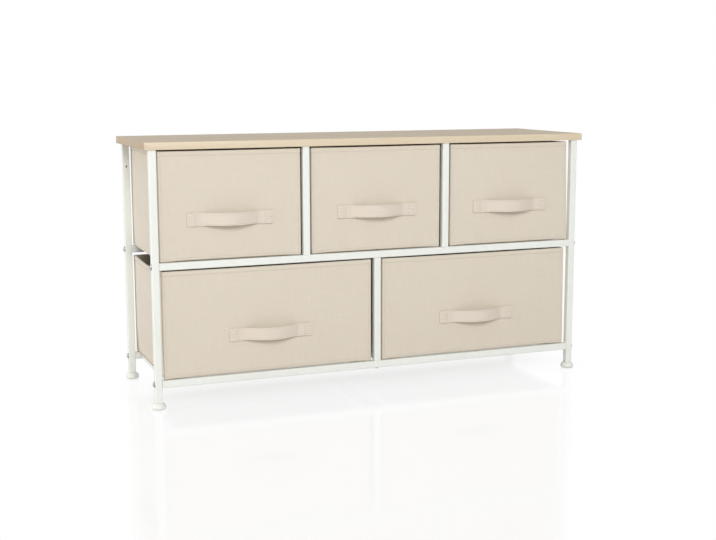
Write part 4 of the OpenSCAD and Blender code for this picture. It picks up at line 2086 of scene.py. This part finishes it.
@dataclass
class SteelFrame:
    """The bolted tube frame, with weld beads where the runners meet the rails."""

    paints: Paints
    bead_length: float = 12.5 * MM
    bead_thick: float = 2.6 * MM
    bead_sides: int = 8
    bead_steps: int = 9
    bead_ripple: float = 0.13
    bead_taper: float = 0.8
    taper_power: int = 4
    bead_drop: float = 0.5 * MM
    runner_gap: float = 20 * MM
    coated: tuple[str, ...] = (
        "leg_front", "leg_rear", "rail_lower", "rail_middle", "runners", "post_lower", "post_upper"
    )
    plated: tuple[str, ...] = (
        "board_inserts", "board_studs", "leg_bolts", "leg_washers", "post_bolts", "stud_"
    )
    plugged: tuple[str, ...] = ("leg_top_plugs", "leg_foot_inserts", "rail_end_plugs", "post_plugs")

    def build(self) -> None:
        """Dress the tubes and fasteners, and weld the runners."""
        for starts, finish in (
            (self.coated, self.paints.steel),
            (self.plated, self.paints.zinc),
            (self.plugged, self.paints.plug),
            (("foot_",), self.paints.foot),
            (("base_board_",), self.paints.hardboard),
        ):
            nodes = [node for name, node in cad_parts.items() if name.startswith(starts)]
            for node in nodes:
                dress_mesh(node, finish)
            LOG.info("%s: %d nodes", finish.name, len(nodes))
        bead = self.model_bead()
        for level, row in (("runners_lower", "rail_lower"), ("runners_middle", "rail_middle")):
            places = self.bead_places(level, row)
            beads = stamp(f"weld_beads_{row}", bead, places, self.paints.steel)
            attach(beads, "root")
            LOG.info("%s: %d weld beads", level, len(places))

    def model_bead(self) -> Mesh:
        """Model one weld bead: a rippled fillet, thin at its ends.

        Returns:
            Its mesh, along X with +Z out of the corner.
        """
        piece = model_bar(self.bead_sides, self.bead_thick, self.bead_length, self.bead_steps)
        close_mesh()
        points = coordinates(piece.data)
        share = points[:, 0] / self.bead_length
        ripple = 1 + self.bead_ripple * np.sin(share * math.pi * self.bead_steps)
        taper = held(np.abs(2 * share)) ** self.taper_power * self.bead_taper
        points[:, 1:] *= (np.sqrt(held(1 - taper)) * ripple)[:, None]
        return keep_mesh(piece, points)

    def runner_edges(self, level: str) -> list[tuple[float, float]]:
        """Find each runner's two sides from the node's mesh.

        Args:
            level: Name of the runners' node.

        Returns:
            Lowest and highest x of each runner, from left to right.
        """
        xs = np.sort(coordinates(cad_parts[level].data)[:, 0])
        gaps = np.nonzero(np.diff(xs) > self.runner_gap)[0]
        starts = [xs[0], *xs[gaps + 1]]
        ends = [*xs[gaps], xs[-1]]
        return [(float(a), float(b)) for a, b in zip(starts, ends)]

    def bead_places(self, level: str, row: str) -> np.ndarray:
        """Place the beads beside and under each end of each runner.

        Args:
            level: Name of the runners' node.
            row: First words of the rails' names at that level.

        Returns:
            Four by four matrices.
        """
        _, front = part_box(f"{row}_front")
        rear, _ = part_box(f"{row}_rear")
        low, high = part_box(level)
        upright, across = np.array([0.0, 0.0, 1.0]), np.array([1.0, 0.0, 0.0])
        middle_z = (low.z + high.z) / 2 - self.bead_drop
        found = []
        for left, right in self.runner_edges(level):
            for y, inward in ((front.y, 1.0), (rear.y, -1.0)):
                for x, side in ((left, -1.0), (right, 1.0)):
                    place = np.array([x, y, middle_z])
                    found.append(lay_along(place, upright, np.array([side, inward, 0.0])))
                place = np.array([(left + right) / 2, y, low.z])
                found.append(lay_along(place, across, np.array([0.0, inward, -1.0])))
        return np.array(found)


@dataclass(frozen=True)
class Viewpoint:
    """Where the photograph was taken from, in the dresser's coordinates, and the camera's turn."""

    place: tuple[float, float, float] = (-0.97498, -2.49017, 0.66908)
    yaw: float = 0.37648
    pitch: float = 0.15907
    roll: float = -0.00199
    focal_px: float = 1194.51
    image_width_px: int = 716
    sensor_mm: float = 36.0
    clip: tuple[float, float] = (0.05, 100.0)

    def turned(self) -> Matrix:
        """Work out the camera's turn.

        Returns:
            The matrix of its right, up and back directions.
        """
        level = Vector((math.cos(self.yaw), -math.sin(self.yaw), 0))
        forward = Vector((math.sin(self.yaw), math.cos(self.yaw), 0))
        ahead = forward * math.cos(self.pitch) - Vector((0, 0, math.sin(self.pitch)))
        upright = level.cross(ahead)
        right = level * math.cos(self.roll) + upright * math.sin(self.roll)
        up = upright * math.cos(self.roll) - level * math.sin(self.roll)
        return Matrix((right, up, -ahead)).transposed()


@dataclass(frozen=True)
class Lamp:
    """A soft square lamp."""

    name: str
    place: tuple[float, float, float]
    aim: tuple[float, float, float]
    size: float
    watts: float
    mirrored: bool = True


@dataclass
class Studio:
    """Camera, lamps, white surround and a glossy white floor."""

    view: Viewpoint = Viewpoint()
    lamps: tuple[Lamp, ...] = (
        Lamp("key_lamp", (-0.9, -4.1, 2.2), (0.0, 0.0, 0.25), 1.4, 105.0),
        Lamp("left_lamp", (-4.3, 0.6, 1.4), (0.0, 0.0, 0.25), 3.0, 80.0),
        Lamp("back_lamp", (3.6, 3.2, 0.7), (0.0, 0.0, 0.3), 1.8, 75.0, mirrored=False),
    )
    surround: float = 0.46
    floor_size: float = 30.0
    floor_lit: Colour = (0.82, 0.82, 0.82, 1.0)
    floor_shown: Colour = (0.97, 0.97, 0.97, 1.0)
    shade_half: tuple[float, float] = (0.42, 0.03)
    shade_fade: float = 0.16
    under_glow: float = 0.86
    floor_gloss: float = 0.11
    mirror_rough: float = 0.12

    def build(self) -> None:
        """Set up the camera, lamps, world and floor."""
        scene = bpy.context.scene
        scene.view_settings.view_transform = "Standard"
        deselect_all()
        bpy.ops.object.camera_add(location=self.view.place)
        camera = bpy.context.object
        camera.rotation_mode = "QUATERNION"
        camera.rotation_quaternion = self.view.turned().to_quaternion()
        camera.data.sensor_width = self.view.sensor_mm
        camera.data.lens = self.view.focal_px / self.view.image_width_px * self.view.sensor_mm
        camera.data.clip_start, camera.data.clip_end = self.view.clip
        scene.camera = camera
        for lamp in self.lamps:
            self.hang(lamp)
        self.light_surround(scene)
        self.lay_floor()
        LOG.info("studio: %d lamps", len(self.lamps))

    def hang(self, lamp: Lamp) -> None:
        """Hang one lamp and aim it.

        Args:
            lamp: The lamp.
        """
        deselect_all()
        bpy.ops.object.light_add(type="AREA", location=lamp.place)
        light = bpy.context.object
        light.name = lamp.name
        light.data.shape = "SQUARE"
        light.data.size = lamp.size
        light.data.energy = lamp.watts
        light.visible_glossy = lamp.mirrored
        aim = Vector(lamp.aim) - Vector(lamp.place)
        light.rotation_mode = "QUATERNION"
        light.rotation_quaternion = aim.to_track_quat("-Z", "Y")

    def seen(self, bench: NodeBench) -> Socket:
        """Find the rays that show the background: from the camera, gloss and glass.

        Args:
            bench: The bench of the material or world.

        Returns:
            1 for these rays.
        """
        path = bench.add("LightPath").outputs
        gloss = bench.math("MAXIMUM", path["Is Glossy Ray"], path["Is Transmission Ray"])
        return bench.math("MAXIMUM", path["Is Camera Ray"], gloss)

    def light_surround(self, scene: bpy.types.Scene) -> None:
        """Make a world that looks white and lights the object more gently.

        Args:
            scene: The scene.
        """
        world = bpy.data.worlds.new("white_surround")
        scene.world = world
        bench = empty_bench(world)
        gentle, white = (
            bench.feed(bench.add("Background"), Color=WHITE, Strength=strength)
            for strength in (self.surround, 1.0)
        )
        shown = bench.mix_shaders(self.seen(bench), gentle, white)
        bench.feed(bench.add("OutputWorld"), Surface=shown.outputs[0])

    def lay_floor(self) -> None:
        """Lay a white floor that keeps the shadow and mirrors the dresser faintly."""
        deselect_all()
        bpy.ops.mesh.primitive_plane_add(size=self.floor_size)
        floor = bpy.context.object
        floor.name = "studio_floor"
        made = bpy.data.materials.new("glossy_white_floor")
        bench = empty_bench(made)
        matt = bench.feed(bench.add("BsdfDiffuse"), Color=self.floor_lit)
        bright = bench.feed(bench.add("BsdfDiffuse"), Color=self.floor_shown)
        glow = bench.feed(bench.add("Emission"), Color=WHITE, Strength=1.0)
        mirror = bench.feed(bench.add("BsdfGlossy"), Color=WHITE, Roughness=self.mirror_rough)
        share = bench.spread(self.distance(bench), self.under_glow, 1.0, 0.0, self.shade_fade)
        shown = bench.mix_shaders(share, bright, glow)
        polished = bench.mix_shaders(self.floor_gloss, shown, mirror)
        mixed = bench.mix_shaders(self.seen(bench), matt, polished)
        bench.feed(bench.add("OutputMaterial"), Surface=mixed.outputs[0])
        floor.data.materials.append(made)

    def distance(self, bench: NodeBench) -> Socket:
        """Find a floor point's distance from the middle of the dresser's footprint.

        Args:
            bench: The floor's bench.

        Returns:
            The distance in metres.
        """
        x, y, _ = bench.axes(bench.object_place())
        beyond = []
        for axis, half in zip((x, y), self.shade_half):
            over = bench.math("SUBTRACT", bench.math("ABSOLUTE", axis), half)
            beyond.append(bench.math("POWER", bench.math("MAXIMUM", over, 0.0), 2.0))
        return bench.math("SQRT", bench.math("ADD", *beyond))


def main() -> None:
    """Build the studio, the board, the frame and the drawers, in that order."""
    logging.basicConfig(level=logging.INFO, format="%(name)s: %(message)s")
    Studio().build()
    paints = Paints()
    TopBoard(paints).build()
    SteelFrame(paints).build()
    FabricDrawers(paints).build()


if __name__ == "__main__":
    main()
